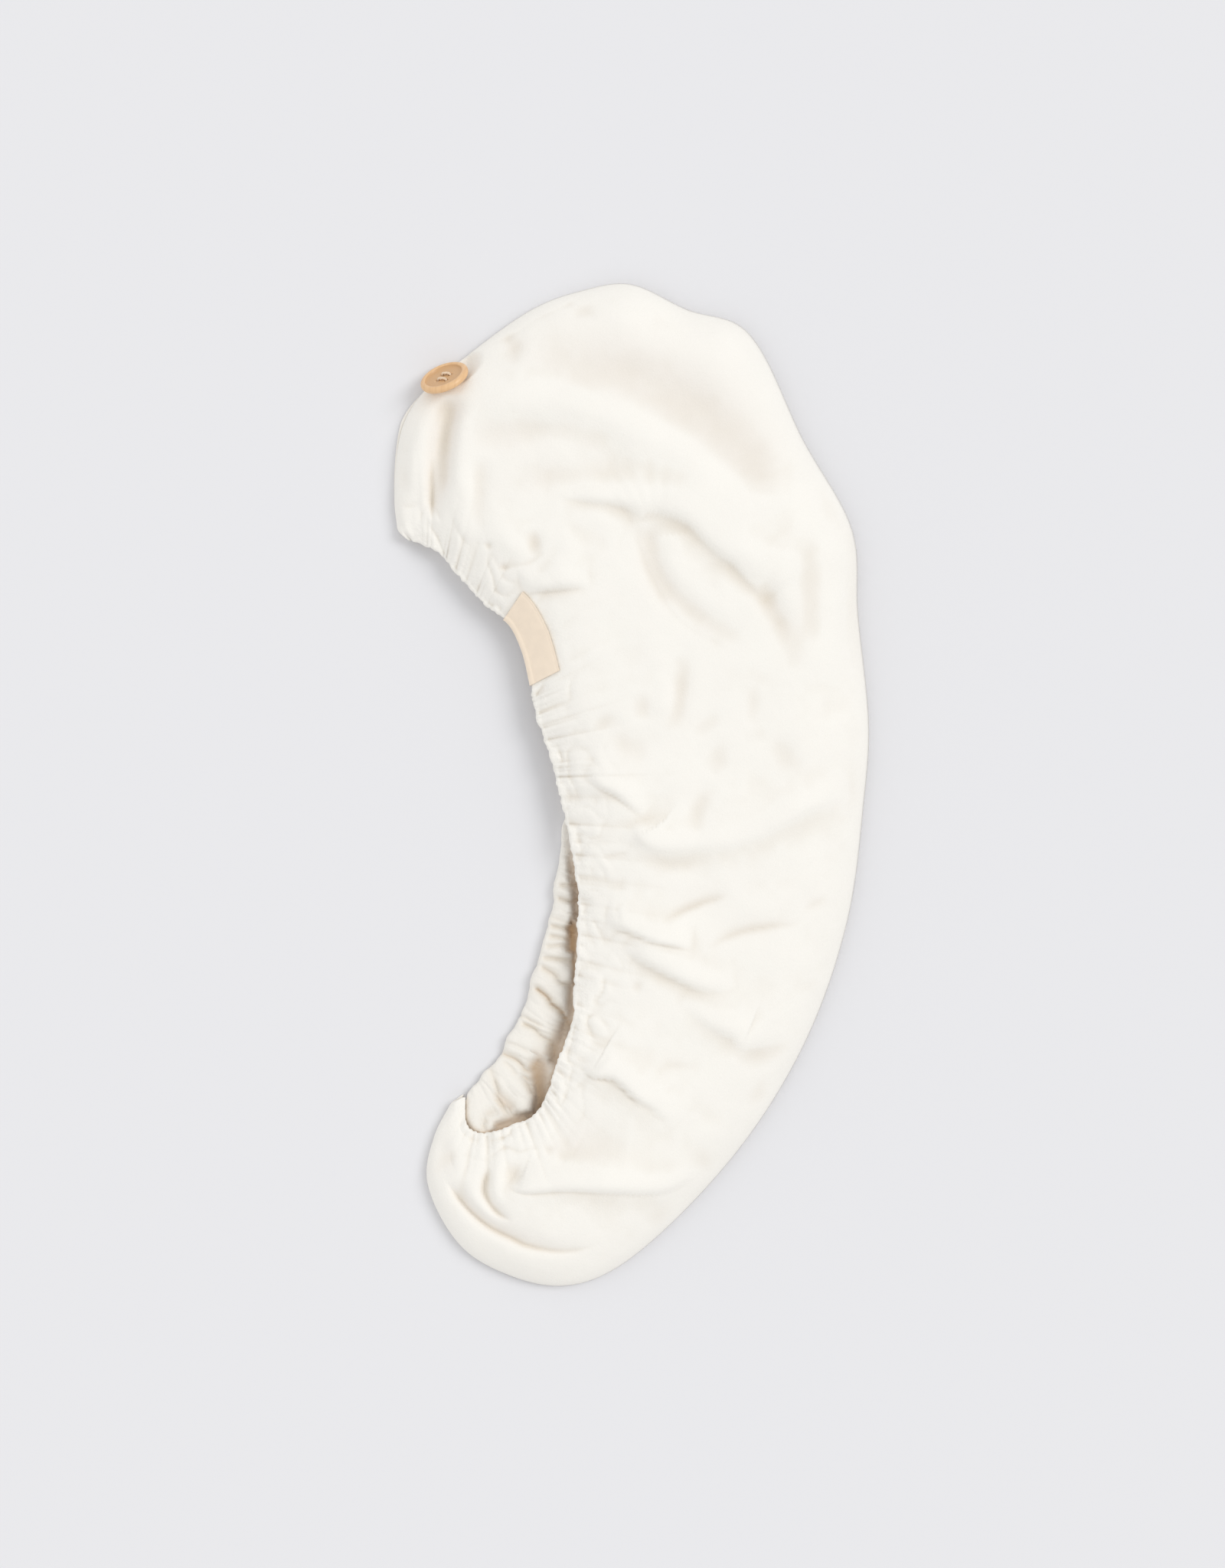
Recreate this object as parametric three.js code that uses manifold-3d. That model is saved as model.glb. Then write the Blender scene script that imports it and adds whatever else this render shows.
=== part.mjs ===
// Hair towel: a curved bag of two plush cloth panels with a gathered mouth, wooden button and plain label.
// Millimetres, +Z up. The towel lies on the plane z = 0, its tail towards -Y and its open mouth towards -X.
import * as THREE from "three";
import { mergeVertices } from "three/addons/utils/BufferGeometryUtils.js";
import Module from "manifold-3d";

const wasm = await Module();
wasm.setup();

// Cloth and seam
const CLOTH = 2.5;
const GAP = 0.3;
const SEAM_Z = CLOTH + GAP;
const RIM_LIFT = 1.1;
const RIM_LIFT_REACH = 7;
const RIM_INSET_SHARE = 0.4;

// The dome rounds off over EDGE_ROUND from the seam and is drawn down to the mouth over LIP_REACH, on a short
// section over no more than these shares of it
const EDGE_ROUND = 46;
const EDGE_SHARE = 0.55;
const EDGE_POWER = 0.6;
const LIP_REACH = 48;
const LIP_SHARE = 0.6;

// Gathered hems
const UPPER_HEM = { width: 13, thickness: 4.4, endThickness: 2.6, puckers: 30, rise: 0.9, scallop: 0.9 };
const LOWER_HEM = { width: 17, thickness: 4.2, endThickness: 2.3, puckers: 27, rise: 2.4, scallop: 1.8 };
const FLOOR_GAP = 0.2;
const HEM_GAP = 0.6;
const HEM_SHARE = 0.42;
const PUCKER_VARIATION = 0.3;
const PUCKER_SLOPE = 2.5;
const END_SHARE = 0.06;
const FLAT_FADE = 8;
const STEPS_PER_PUCKER = 4;

// Mesh density: stations run along the seam, rows run from the mouth to the seam
const UPPER_STATIONS = 62;
const UPPER_ROWS = 18;
const LOWER_STATIONS = 48;
const LOWER_ROWS = 8;
const CROWDING = 0.6;
const LONG_SPOKE = 100;
const CURVE_STEPS = 2000;
const SEAM_SAMPLES = 360;
const FOLD_SAMPLES = 24;
const WELD = 1e-4;

// Button and label
const BUTTON = {
  radius: 15, thickness: 4.6, face: 0.12, sides: 30,
  x: -110.5, y: 240.5, z: 15.6, tilt: 57, heading: 113, turn: -40,
};
const HOLE = { radius: 1.4, spread: 2.7, sides: 10 };
const THREAD = { width: 1.3, proud: 0.5, sides: 8, shankRadius: 2.2, shankLength: 0.8, shankSides: 14 };
const LABEL = { start: 76, length: 44, width: 18, thickness: 0.8, lift: 0.5, steps: 12 };

// One row for each section across the towel, from the mouth's upper corner round the convex side to its lower
// corner. It gives a point on the seam, a point on the free edge of each hem, the height of the dome (loft),
// the height of the upper hem (lip) and how far the lower panel shows outside the upper one (peek).
const SECTIONS = [
  { seam: [-140, 153], upper: [-132, 145], lower: [-130, 146], loft: 9, lip: 6.5, peek: 0 },
  { seam: [-142, 170], upper: [-130, 144], lower: [-128, 146], loft: 15, lip: 8, peek: 0 },
  { seam: [-138, 212], upper: [-127, 143], lower: [-126, 145], loft: 22, lip: 10, peek: 4 },
  { seam: [-126, 234], upper: [-123, 141], lower: [-122, 144], loft: 26, lip: 11, peek: 0 },
  { seam: [-100, 252], upper: [-117, 136], lower: [-116, 140], loft: 28, lip: 12, peek: 0 },
  { seam: [-58, 284], upper: [-105, 124], lower: [-102, 127], loft: 31, lip: 13, peek: 0 },
  { seam: [-31, 294], upper: [-97, 117], lower: [-94, 119], loft: 33, lip: 14, peek: 0 },
  { seam: [-1, 300], upper: [-88, 109], lower: [-85, 112], loft: 35, lip: 15, peek: 0 },
  { seam: [35, 284], upper: [-80, 103], lower: [-77, 105], loft: 37, lip: 15, peek: 0 },
  { seam: [68, 271], upper: [-71, 96], lower: [-69, 97], loft: 38, lip: 16, peek: 0 },
  { seam: [103, 203], upper: [-63, 80], lower: [-59, 79], loft: 38, lip: 16, peek: 0 },
  { seam: [132, 149], upper: [-57, 58], lower: [-51, 54], loft: 37, lip: 17, peek: 0 },
  { seam: [135, 102], upper: [-53, 38], lower: [-46, 33], loft: 36, lip: 17, peek: 0 },
  { seam: [142, 33], upper: [-47, 16], lower: [-42, 10], loft: 35, lip: 17, peek: 0 },
  { seam: [140, -12], upper: [-40, -8], lower: [-39, -13], loft: 34, lip: 18, peek: 0 },
  { seam: [128, -83], upper: [-29, -63], lower: [-44, -60], loft: 32, lip: 19, peek: 0 },
  { seam: [101, -157], upper: [-30, -120], lower: [-57, -109], loft: 31, lip: 20, peek: 0 },
  { seam: [57, -228], upper: [-39, -167], lower: [-75, -154], loft: 29, lip: 20, peek: 0 },
  { seam: [-8, -291], upper: [-55, -196], lower: [-87, -176], loft: 26, lip: 18, peek: 0 },
  { seam: [-40, -300], upper: [-69, -203], lower: [-90, -181], loft: 25, lip: 16, peek: 0 },
  { seam: [-72, -296], upper: [-81, -208], lower: [-94, -185], loft: 24, lip: 14, peek: 0 },
  { seam: [-103, -278], upper: [-91, -208], lower: [-97, -187], loft: 21, lip: 12, peek: 0 },
  { seam: [-123, -238], upper: [-98, -203], lower: [-98, -190], loft: 17, lip: 10, peek: 0 },
  { seam: [-119, -210], upper: [-100, -196], lower: [-100, -190], loft: 13, lip: 8, peek: 0 },
  { seam: [-110, -193], upper: [-99, -189], lower: [-99, -188], loft: 9, lip: 6.5, peek: 0 },
];

// One row for each main fold of the upper panel: its path, the height that it adds on its left and right side
// (seen along the path), how far it spreads, and the half width of the step between the two sides.
const FOLDS = [
  { name: "top crease, west", left: 4, right: -4, wide: 16, step: 4,
    path: [[-60, 168], [-29, 165], [-11, 163], [2, 156]] },
  { name: "top crease, east", left: 6, right: -6, wide: 20, step: 5,
    path: [[3, 157], [21, 157], [53, 136], [83, 104]] },
  { name: "band below the crease", left: 5, right: 5, wide: 9, step: 5,
    path: [[17, 143], [49, 124], [87, 82]] },
  { name: "trough below the band", left: -5, right: -5, wide: 10, step: 5,
    path: [[3, 151], [12, 129], [30, 102], [60, 77]] },
  { name: "east dent", left: -5, right: -5, wide: 9, step: 5,
    path: [[106, 156], [108, 111], [103, 56]] },
  { name: "east dent, inner", left: -4, right: -4, wide: 8, step: 5,
    path: [[82, 140], [82, 98]] },
  { name: "crown hollow", left: -5, right: -5, wide: 24, step: 9,
    path: [[-30, 262], [35, 229], [81, 175]] },
  { name: "crown ridge", left: 4, right: 4, wide: 16, step: 6,
    path: [[-97, 227], [-29, 221], [17, 202], [74, 159]] },
  { name: "crown furrow", left: -3, right: -3, wide: 8, step: 5,
    path: [[-86, 206], [-47, 208], [-8, 202]] },
  { name: "hollow above the crease", left: -4, right: -4, wide: 10, step: 5,
    path: [[-77, 178], [-38, 180], [4, 176]] },
  { name: "west groove", left: -9, right: -9, wide: 7, step: 4,
    path: [[-106, 222], [-114, 193], [-116, 150]] },
  { name: "west roll", left: 4, right: 4, wide: 8, step: 4,
    path: [[-122, 222], [-128, 193], [-129, 156]] },
  { name: "second west groove", left: -3, right: -3, wide: 7, step: 4,
    path: [[-94, 196], [-89, 150]] },
  { name: "mouth tuck", left: 3, right: -3, wide: 10, step: 4,
    path: [[-77, 125], [-62, 128], [-52, 142]] },
  { name: "middle dent", left: -3, right: -3, wide: 8, step: 5,
    path: [[28, 74], [28, 34]] },
  { name: "waist crease", left: 3, right: -3, wide: 10, step: 4,
    path: [[-32, 3], [-11, -6], [6, -19]] },
  { name: "smile fold", left: -5, right: 3, wide: 13, step: 6,
    path: [[0, -26], [8, -38], [40, -42], [85, -33], [131, -10]] },
  { name: "arm fold, upper", left: 3, right: -4, wide: 11, step: 4,
    path: [[-13, -86], [8, -92], [36, -98]] },
  { name: "arm fold, lower", left: 4, right: -4, wide: 12, step: 4,
    path: [[-2, -100], [10, -107], [37, -121], [66, -122]] },
  { name: "arm dent", left: -3, right: -3, wide: 9, step: 5,
    path: [[41, -99], [71, -87], [101, -83]] },
  { name: "elbow fold", left: 3, right: -4, wide: 12, step: 5,
    path: [[30, -137], [51, -147], [65, -158], [99, -154]] },
  { name: "wrist crease", left: 5, right: -4, wide: 13, step: 4,
    path: [[-33, -162], [-20, -175], [3, -186], [24, -201]] },
  { name: "tail fold", left: -5, right: 3, wide: 12, step: 5,
    path: [[-71, -226], [-70, -238], [-47, -243], [20, -243], [40, -232]] },
  { name: "toe crescent, inner", left: -4, right: 3, wide: 8, step: 4,
    path: [[-79, -220], [-86, -238], [-80, -254], [-66, -261]] },
  { name: "toe crescent, outer", left: -5, right: 4, wide: 8, step: 4,
    path: [[-112, -238], [-95, -257], [-79, -269], [-56, -279], [-28, -277]] },
];

// Section of a hem, walked once round: across runs from the free edge to the panel, up from its underside to
// its top. The first HEM_TOP rows are its top side.
const HEM_TOP = 5;
const HEM_SECTION = [
  { across: 0, up: 0.5 },
  { across: 0.08, up: 0.85 },
  { across: 0.32, up: 1 },
  { across: 0.7, up: 0.97 },
  { across: 1, up: 0.9 },
  { across: 1, up: 0.1 },
  { across: 0.5, up: 0 },
  { across: 0.08, up: 0.12 },
];

const clamp = THREE.MathUtils.clamp;
const lerp = THREE.MathUtils.lerp;
const smoothstep = THREE.MathUtils.smoothstep;

// Curves through the table

function outline(column) {
  const points = SECTIONS.map((row) => new THREE.Vector3(row[column][0], row[column][1], 0));
  const curve = new THREE.CatmullRomCurve3(points, false, "centripetal");
  curve.arcLengthDivisions = CURVE_STEPS;
  return curve;
}

const seam = outline("seam");
const upperEdge = outline("upper");
const lowerEdge = outline("lower");

function sectionValue(column, t) {
  const place = clamp(t, 0, 1) * (SECTIONS.length - 1);
  const row = Math.min(Math.floor(place), SECTIONS.length - 2);
  return lerp(SECTIONS[row][column], SECTIONS[row + 1][column], place - row);
}

// Nearest place on a path: its share of the path, the distance, and the distance signed positive on the left
function nearest(samples, x, y) {
  let best = { share: 0, distance: Infinity, side: 0 };
  for (let i = 0; i + 1 < samples.length; i += 1) {
    const a = samples[i];
    const b = samples[i + 1];
    const dx = b.x - a.x;
    const dy = b.y - a.y;
    const along = clamp(((x - a.x) * dx + (y - a.y) * dy) / (dx * dx + dy * dy), 0, 1);
    const offX = x - a.x - along * dx;
    const offY = y - a.y - along * dy;
    const distance = Math.hypot(offX, offY);
    if (distance < best.distance) {
      const side = distance * Math.sign(dx * offY - dy * offX);
      best = { share: (i + along) / (samples.length - 1), distance, side };
    }
  }
  return best;
}

const seamSamples = seam.getPoints(SEAM_SAMPLES);
const foldPaths = FOLDS.map((fold) => {
  const points = fold.path.map(([x, y]) => new THREE.Vector3(x, y, 0));
  return new THREE.CatmullRomCurve3(points, false, "centripetal").getPoints(FOLD_SAMPLES);
});

// Height that all folds add at a point of the upper panel, each fading out at its ends and past its spread
const FOLD_FADE = 0.28;
const FOLD_SPREAD = 2.5;

function foldHeight(x, y) {
  let height = 0;
  FOLDS.forEach((fold, i) => {
    const near = nearest(foldPaths[i], x, y);
    if (near.distance > FOLD_SPREAD * fold.wide) return;
    const side = smoothstep(near.side, -fold.step, fold.step);
    const fade = smoothstep(near.share, 0, FOLD_FADE) * smoothstep(1 - near.share, 0, FOLD_FADE);
    height += lerp(fold.right, fold.left, side) * fade * Math.exp(-((near.distance / fold.wide) ** 2));
  });
  return height;
}

// The spoke of a section runs from the free edge of a hem straight to the seam. Short ones have a narrow hem
function spoke(edge, t, hem) {
  const start = edge.getPoint(t);
  const end = seam.getPoint(t);
  const length = start.distanceTo(end);
  const direction = end.clone().sub(start).divideScalar(length);
  const hemWidth = hem.width * (1 - Math.exp((-HEM_SHARE * length) / hem.width));
  return { t, start, direction, length, hemWidth };
}

function onSpoke(line, distance) {
  return line.start.clone().addScaledVector(line.direction, distance);
}

// The cloth lies flat against the button's shank, in a plane that leans with the button
const SEAT_RADIUS = 19;
const SEAT_RISE = 1.2;
const SEAT_CLEARANCE = 1;

function seatHeight(x, y) {
  const tilt = THREE.MathUtils.degToRad(BUTTON.tilt);
  const heading = THREE.MathUtils.degToRad(BUTTON.heading);
  const dx = x - BUTTON.x;
  const dy = y - BUTTON.y;
  const inward = -dx * Math.cos(heading) - dy * Math.sin(heading);
  const behind = BUTTON.thickness / 2 + THREAD.shankLength + SEAT_CLEARANCE;
  const plane = BUTTON.z - behind / Math.cos(tilt) + inward * Math.tan(tilt);
  const away = Math.max(0, Math.hypot(dx, dy) - SEAT_RADIUS);
  return Math.max(plane + away * SEAT_RISE, SEAM_Z);
}

// Top surface of the upper panel and hem: a dome, round at the seam, drawn down to the lip at the mouth
const SEAM_FADE = 16;
const HEM_FADE = 14;
const CAVITY = 5;

function upperHeight(line, distance) {
  const point = onSpoke(line, distance);
  const toSeam = Math.min(nearest(seamSamples, point.x, point.y).distance, line.length - distance);
  const loft = sectionValue("loft", line.t);
  const lip = sectionValue("lip", line.t);
  const round = Math.min(EDGE_ROUND, EDGE_SHARE * line.length);
  const inside = clamp(toSeam / round, 0, 1);
  const dome = SEAM_Z + (loft - SEAM_Z) * (1 - (1 - inside) ** 2) ** EDGE_POWER;
  const reach = Math.min(LIP_REACH, LIP_SHARE * line.length);
  const drawn = (1 - clamp(distance / reach, 0, 1)) ** 2;
  const seamFade = smoothstep(toSeam, 0, SEAM_FADE);
  const hemFade = smoothstep(distance - line.hemWidth, 0, HEM_FADE);
  const height = lerp(dome, lip, drawn) + foldHeight(point.x, point.y) * seamFade * hemFade;
  const lowest = Math.min(dome, SEAM_Z + CLOTH + CAVITY * smoothstep(toSeam, 0, SEAM_FADE));
  return Math.min(Math.max(height, lowest), seatHeight(point.x, point.y));
}

// Closed solids from grids and rings of points

function solidGeometry(points, faces) {
  const corners = faces.map((face) => face.map((i) => points[i]));
  let volume = 0;
  for (const [a, b, c] of corners) volume += a.dot(new THREE.Vector3().crossVectors(b, c));
  const turned = volume < 0 ? faces.map(([a, b, c]) => [a, c, b]) : faces;
  const geometry = new THREE.BufferGeometry();
  const numbers = points.flatMap((point) => point.toArray());
  geometry.setAttribute("position", new THREE.Float32BufferAttribute(numbers, 3));
  geometry.setIndex(turned.flat());
  geometry.computeVertexNormals();
  return geometry;
}

// Two triangles for a quad, split along its shorter diagonal
function quad(points, a, b, c, d) {
  const split = points[a].distanceTo(points[c]) <= points[b].distanceTo(points[d]);
  return split ? [[a, b, c], [a, c, d]] : [[a, b, d], [b, c, d]];
}

// A wall between two grids of the same size, closed along its four borders
function wall(outer, inner) {
  const stations = outer.length;
  const rows = outer[0].length;
  const points = [...outer.flat(), ...inner.flat()];
  const top = (i, j) => i * rows + j;
  const under = (i, j) => stations * rows + i * rows + j;
  const faces = [];
  for (let i = 0; i + 1 < stations; i += 1) {
    for (let j = 0; j + 1 < rows; j += 1) {
      faces.push(...quad(points, top(i, j), top(i + 1, j), top(i + 1, j + 1), top(i, j + 1)));
      faces.push(...quad(points, under(i, j), under(i, j + 1), under(i + 1, j + 1), under(i + 1, j)));
    }
  }
  const last = { i: stations - 1, j: rows - 1 };
  for (let i = 0; i < last.i; i += 1) {
    faces.push(...quad(points, top(i + 1, 0), top(i, 0), under(i, 0), under(i + 1, 0)));
    faces.push(...quad(points, top(i, last.j), top(i + 1, last.j), under(i + 1, last.j), under(i, last.j)));
  }
  for (let j = 0; j < last.j; j += 1) {
    faces.push(...quad(points, top(0, j), top(0, j + 1), under(0, j + 1), under(0, j)));
    faces.push(...quad(points, top(last.i, j + 1), top(last.i, j), under(last.i, j), under(last.i, j + 1)));
  }
  return solidGeometry(points, faces);
}

// A bar through a row of closed sections, with a fan over each end
function bar(sections) {
  const sides = sections[0].length;
  const points = sections.flat();
  const faces = [];
  for (let i = 0; i + 1 < sections.length; i += 1) {
    for (let k = 0; k < sides; k += 1) {
      const next = (k + 1) % sides;
      const a = i * sides;
      faces.push(...quad(points, a + k, a + next, a + sides + next, a + sides + k));
    }
  }
  const end = (sections.length - 1) * sides;
  for (let k = 1; k + 1 < sides; k += 1) {
    faces.push([0, k + 1, k]);
    faces.push([end, end + k, end + k + 1]);
  }
  return solidGeometry(points, faces);
}

// Rows are even on a short spoke and crowd towards the seam on a long one
function rowDistances(line, rows) {
  const start = line.hemWidth + HEM_GAP;
  const crowd = 1 + CROWDING * smoothstep(line.length, 0, LONG_SPOKE);
  return Array.from({ length: rows + 1 }, (_, j) => {
    const fromSeam = (line.length - start) * (1 - j / rows) ** crowd;
    return line.length - fromSeam;
  });
}

// Parameters that step evenly along the curves and the table's rows taken together
function stationParameters(curves, count) {
  const lengths = curves.map((curve) => curve.getLengths(CURVE_STEPS));
  const share = (k) => lengths.reduce((sum, list) => sum + list[k] / list[CURVE_STEPS], k / CURVE_STEPS)
    / (curves.length + 1);
  let k = 0;
  return Array.from({ length: count + 1 }, (_, i) => {
    while (k < CURVE_STEPS && share(k) < i / count) k += 1;
    return i === count ? 1 : k / CURVE_STEPS;
  });
}

// Panels

function upperPanel() {
  const outer = stationParameters([seam, upperEdge], UPPER_STATIONS).map((t) => {
    const line = spoke(upperEdge, t, UPPER_HEM);
    return rowDistances(line, UPPER_ROWS).map((distance, j) => {
      const point = onSpoke(line, distance);
      point.z = j === UPPER_ROWS ? SEAM_Z : upperHeight(line, distance);
      return point;
    });
  });
  const stations = outer.length;
  const inner = outer.map((row, i) => row.map((point, j) => {
    const across = row[Math.min(j + 1, UPPER_ROWS)].clone().sub(row[Math.max(j - 1, 0)]);
    if (j === UPPER_ROWS) {
      const inset = Math.min(CLOTH, RIM_INSET_SHARE * row[0].distanceTo(point));
      const inward = row[0].clone().sub(point).setZ(0).normalize();
      return point.clone().addScaledVector(inward, inset);
    }
    const along = outer[Math.min(i + 1, stations - 1)][j].clone().sub(outer[Math.max(i - 1, 0)][j]);
    const normal = new THREE.Vector3().crossVectors(across, along).normalize();
    if (normal.z < 0) normal.negate();
    if (j === 0 || i === 0 || i === stations - 1) normal.set(0, 0, 1);
    const under = point.clone().addScaledVector(normal, -CLOTH);
    under.z = Math.max(under.z, SEAM_Z);
    return under;
  }));
  return wall(outer, inner);
}

function lowerPanel() {
  const stations = stationParameters([seam, lowerEdge], LOWER_STATIONS).map((t) => {
    const line = spoke(lowerEdge, t, LOWER_HEM);
    line.length += sectionValue("peek", t);
    return { line, distances: rowDistances(line, LOWER_ROWS) };
  });
  const grid = (height) => stations.map(({ line, distances }) => distances.map((distance) => {
    const point = onSpoke(line, distance);
    point.z = height(line.length - distance);
    return point;
  }));
  const top = grid(() => CLOTH);
  const underside = grid((toRim) => RIM_LIFT * (1 - clamp(toRim / RIM_LIFT_REACH, 0, 1)) ** 2);
  return wall(top, underside);
}

// Hems: a soft band whose puckers push its free edge out and lift its top

function hemGeometry(edge, hem, topHeight, flatSpan) {
  const steps = hem.puckers * STEPS_PER_PUCKER;
  const edgeLength = edge.getLength();
  const sections = Array.from({ length: steps + 1 }, (_, i) => {
    const line = spoke(edge, edge.getUtoTmapping(i / steps), hem);
    const fromEnd = Math.min(i, steps - i) / steps;
    const full = smoothstep(fromEnd, 0, END_SHARE);
    const along = (i / steps) * edgeLength;
    const fromFlat = Math.abs(along - flatSpan.middle) - flatSpan.half;
    const flat = smoothstep(fromFlat, 0, FLAT_FADE);
    const height = 1 - PUCKER_VARIATION * Math.sin(i);
    const wave = (1 + height * Math.cos((2 * Math.PI * i) / STEPS_PER_PUCKER)) / 2;
    const pucker = wave * full * flat;
    const thickness = lerp(hem.endThickness, hem.thickness, full);
    return HEM_SECTION.map(({ across, up }) => {
      const distance = across * line.hemWidth - (1 - across) * hem.scallop * pucker;
      const point = onSpoke(line, distance);
      const raise = hem.rise * pucker * up * Math.min(1, PUCKER_SLOPE * (1 - across));
      point.z = topHeight(line, Math.max(distance, 0), thickness) - thickness * (1 - up) + raise;
      return point;
    });
  });
  return bar(sections);
}

function upperHem() {
  const lowest = SEAM_Z + FLOOR_GAP;
  const flatSpan = { middle: LABEL.start + LABEL.length / 2, half: LABEL.length / 2 };
  return hemGeometry(upperEdge, UPPER_HEM, (line, distance, thickness) =>
    Math.max(upperHeight(line, distance), lowest + thickness), flatSpan);
}

function lowerHem() {
  const noFlatSpan = { middle: 0, half: -FLAT_FADE };
  return hemGeometry(lowerEdge, LOWER_HEM, (line, distance, thickness) => FLOOR_GAP + thickness, noFlatSpan);
}

// Label: a thin strip that follows the hem and the first of the panel

function label() {
  const edgeLength = upperEdge.getLength();
  const hemRows = HEM_SECTION.slice(0, HEM_TOP).map(({ across }) => across * UPPER_HEM.width);
  const rows = [...hemRows, LABEL.width];
  const stations = Array.from({ length: LABEL.steps + 1 }, (_, i) => {
    const along = LABEL.start + (LABEL.length * i) / LABEL.steps;
    return spoke(upperEdge, upperEdge.getUtoTmapping(along / edgeLength), UPPER_HEM);
  });
  const grid = (lift) => stations.map((line) => rows.map((distance) => {
    const point = onSpoke(line, distance);
    point.z = upperHeight(line, distance) + lift;
    return point;
  }));
  return wall(grid(LABEL.lift + LABEL.thickness), grid(LABEL.lift));
}

// Booleans for the button and its thread

function toManifold(geometry, position = new THREE.Vector3(), rotation = new THREE.Euler()) {
  const copy = geometry.clone();
  copy.applyMatrix4(new THREE.Matrix4().makeRotationFromEuler(rotation).setPosition(position));
  copy.deleteAttribute("normal");
  copy.deleteAttribute("uv");
  const merged = mergeVertices(copy, WELD);
  return new wasm.Manifold(new wasm.Mesh({
    numProp: 3,
    vertProperties: new Float32Array(merged.attributes.position.array),
    triVerts: new Uint32Array(merged.index.array),
  }));
}

function fromManifold(solid) {
  const mesh = solid.getMesh();
  const geometry = new THREE.BufferGeometry();
  geometry.setAttribute("position", new THREE.BufferAttribute(mesh.vertProperties, 3));
  geometry.setIndex(new THREE.BufferAttribute(mesh.triVerts, 1));
  geometry.computeVertexNormals();
  return geometry;
}

const UPRIGHT = new THREE.Euler(Math.PI / 2, 0, 0);
const HOLE_PLACES = [[-1, -1], [1, -1], [1, 1], [-1, 1]].map(([x, y]) =>
  new THREE.Vector2(x * HOLE.spread, y * HOLE.spread));

// The button is turned on a lathe: a flat back, a rounded raised rim and a sunk middle
const BUTTON_PROFILE = [
  { radius: 0, height: -0.5 },
  { radius: 0.8, height: -0.5 },
  { radius: 0.95, height: -0.32 },
  { radius: 1, height: 0 },
  { radius: 0.97, height: 0.3 },
  { radius: 0.88, height: 0.5 },
  { radius: 0.78, height: 0.46 },
  { radius: 0.68, height: 0.16 },
  { radius: 0, height: 0.1 },
];
function button() {
  const profile = BUTTON_PROFILE.map(({ radius, height }) =>
    new THREE.Vector2(radius * BUTTON.radius, height * BUTTON.thickness));
  const disc = new THREE.LatheGeometry(profile, BUTTON.sides);
  let solid = toManifold(disc, new THREE.Vector3(), UPRIGHT);
  const drill = new THREE.CylinderGeometry(HOLE.radius, HOLE.radius, 2 * BUTTON.thickness, HOLE.sides);
  for (const place of HOLE_PLACES) {
    solid = solid.subtract(toManifold(drill, new THREE.Vector3(place.x, place.y, 0), UPRIGHT));
  }
  return fromManifold(solid);
}

// The thread passes down through each pair of holes in a staple and gathers into a shank behind the button
function buttonThread() {
  const back = -BUTTON.thickness / 2;
  const face = BUTTON.face * BUTTON.thickness;
  const top = face + GAP + THREAD.width + THREAD.proud;
  const shankTop = back - GAP;
  const legLength = top - shankTop + THREAD.proud;
  const leg = new THREE.CylinderGeometry(THREAD.width / 2, THREAD.width / 2, legLength, THREAD.sides);
  const bridge = new THREE.BoxGeometry(THREAD.width, 2 * HOLE.spread, THREAD.width);
  const shankRadius = HOLE.spread + THREAD.shankRadius;
  const shank = new THREE.CylinderGeometry(shankRadius, shankRadius, THREAD.shankLength, THREAD.shankSides);
  let solid = toManifold(shank, new THREE.Vector3(0, 0, shankTop - THREAD.shankLength / 2), UPRIGHT);
  for (const place of HOLE_PLACES) {
    const middle = new THREE.Vector3(place.x, place.y, top - legLength / 2);
    solid = solid.add(toManifold(leg, middle, UPRIGHT));
  }
  for (const x of [-HOLE.spread, HOLE.spread]) {
    solid = solid.add(toManifold(bridge, new THREE.Vector3(x, 0, top - THREAD.width / 2)));
  }
  return fromManifold(solid);
}

// Scene graph

const CLOTH_MATERIAL = { color: 0xfaf7f0, roughness: 0.95, metalness: 0 };
const MATERIALS = {
  upper_panel: CLOTH_MATERIAL,
  lower_panel: CLOTH_MATERIAL,
  upper_hem: CLOTH_MATERIAL,
  lower_hem: { ...CLOTH_MATERIAL, color: 0xf2ebe2 },
  label: { color: 0xfae8d4, roughness: 0.6, metalness: 0 },
  button: { color: 0xd9ad78, roughness: 0.45, metalness: 0 },
  button_thread: { color: 0xe3c9a2, roughness: 0.8, metalness: 0 },
};

function piece(name, geometry) {
  const mesh = new THREE.Mesh(geometry, new THREE.MeshStandardMaterial(MATERIALS[name]));
  mesh.name = name;
  return mesh;
}

const towel = new THREE.Group();
towel.add(piece("upper_panel", upperPanel()));
towel.add(piece("lower_panel", lowerPanel()));
towel.add(piece("upper_hem", upperHem()));
towel.add(piece("lower_hem", lowerHem()));
towel.add(piece("label", label()));

// The button leans out over the seam. Its face is tilted from level towards its heading, and its holes are
// turned about its own axis.
const fastening = new THREE.Group();
fastening.position.set(BUTTON.x, BUTTON.y, BUTTON.z);
fastening.rotation.order = "ZYX";
fastening.rotation.set(0, THREE.MathUtils.degToRad(BUTTON.tilt), THREE.MathUtils.degToRad(BUTTON.heading));
const turned = new THREE.Group();
turned.rotation.z = THREE.MathUtils.degToRad(BUTTON.turn);
turned.add(piece("button", button()));
turned.add(piece("button_thread", buttonThread()));
fastening.add(turned);
towel.add(fastening);

export default towel;
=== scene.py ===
"""Hair towel lying flat, seen from above: plush skin, gathered hems, label, button and thread over the frame.

The tables are in millimetres along the frame's axes: +Y to the crown, -X to the open mouth, +Z up.
"""
import math
from types import SimpleNamespace as Values

import bpy
import numpy as np
from numpy.lib.stride_tricks import sliding_window_view
from mathutils import Matrix, Vector


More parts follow.
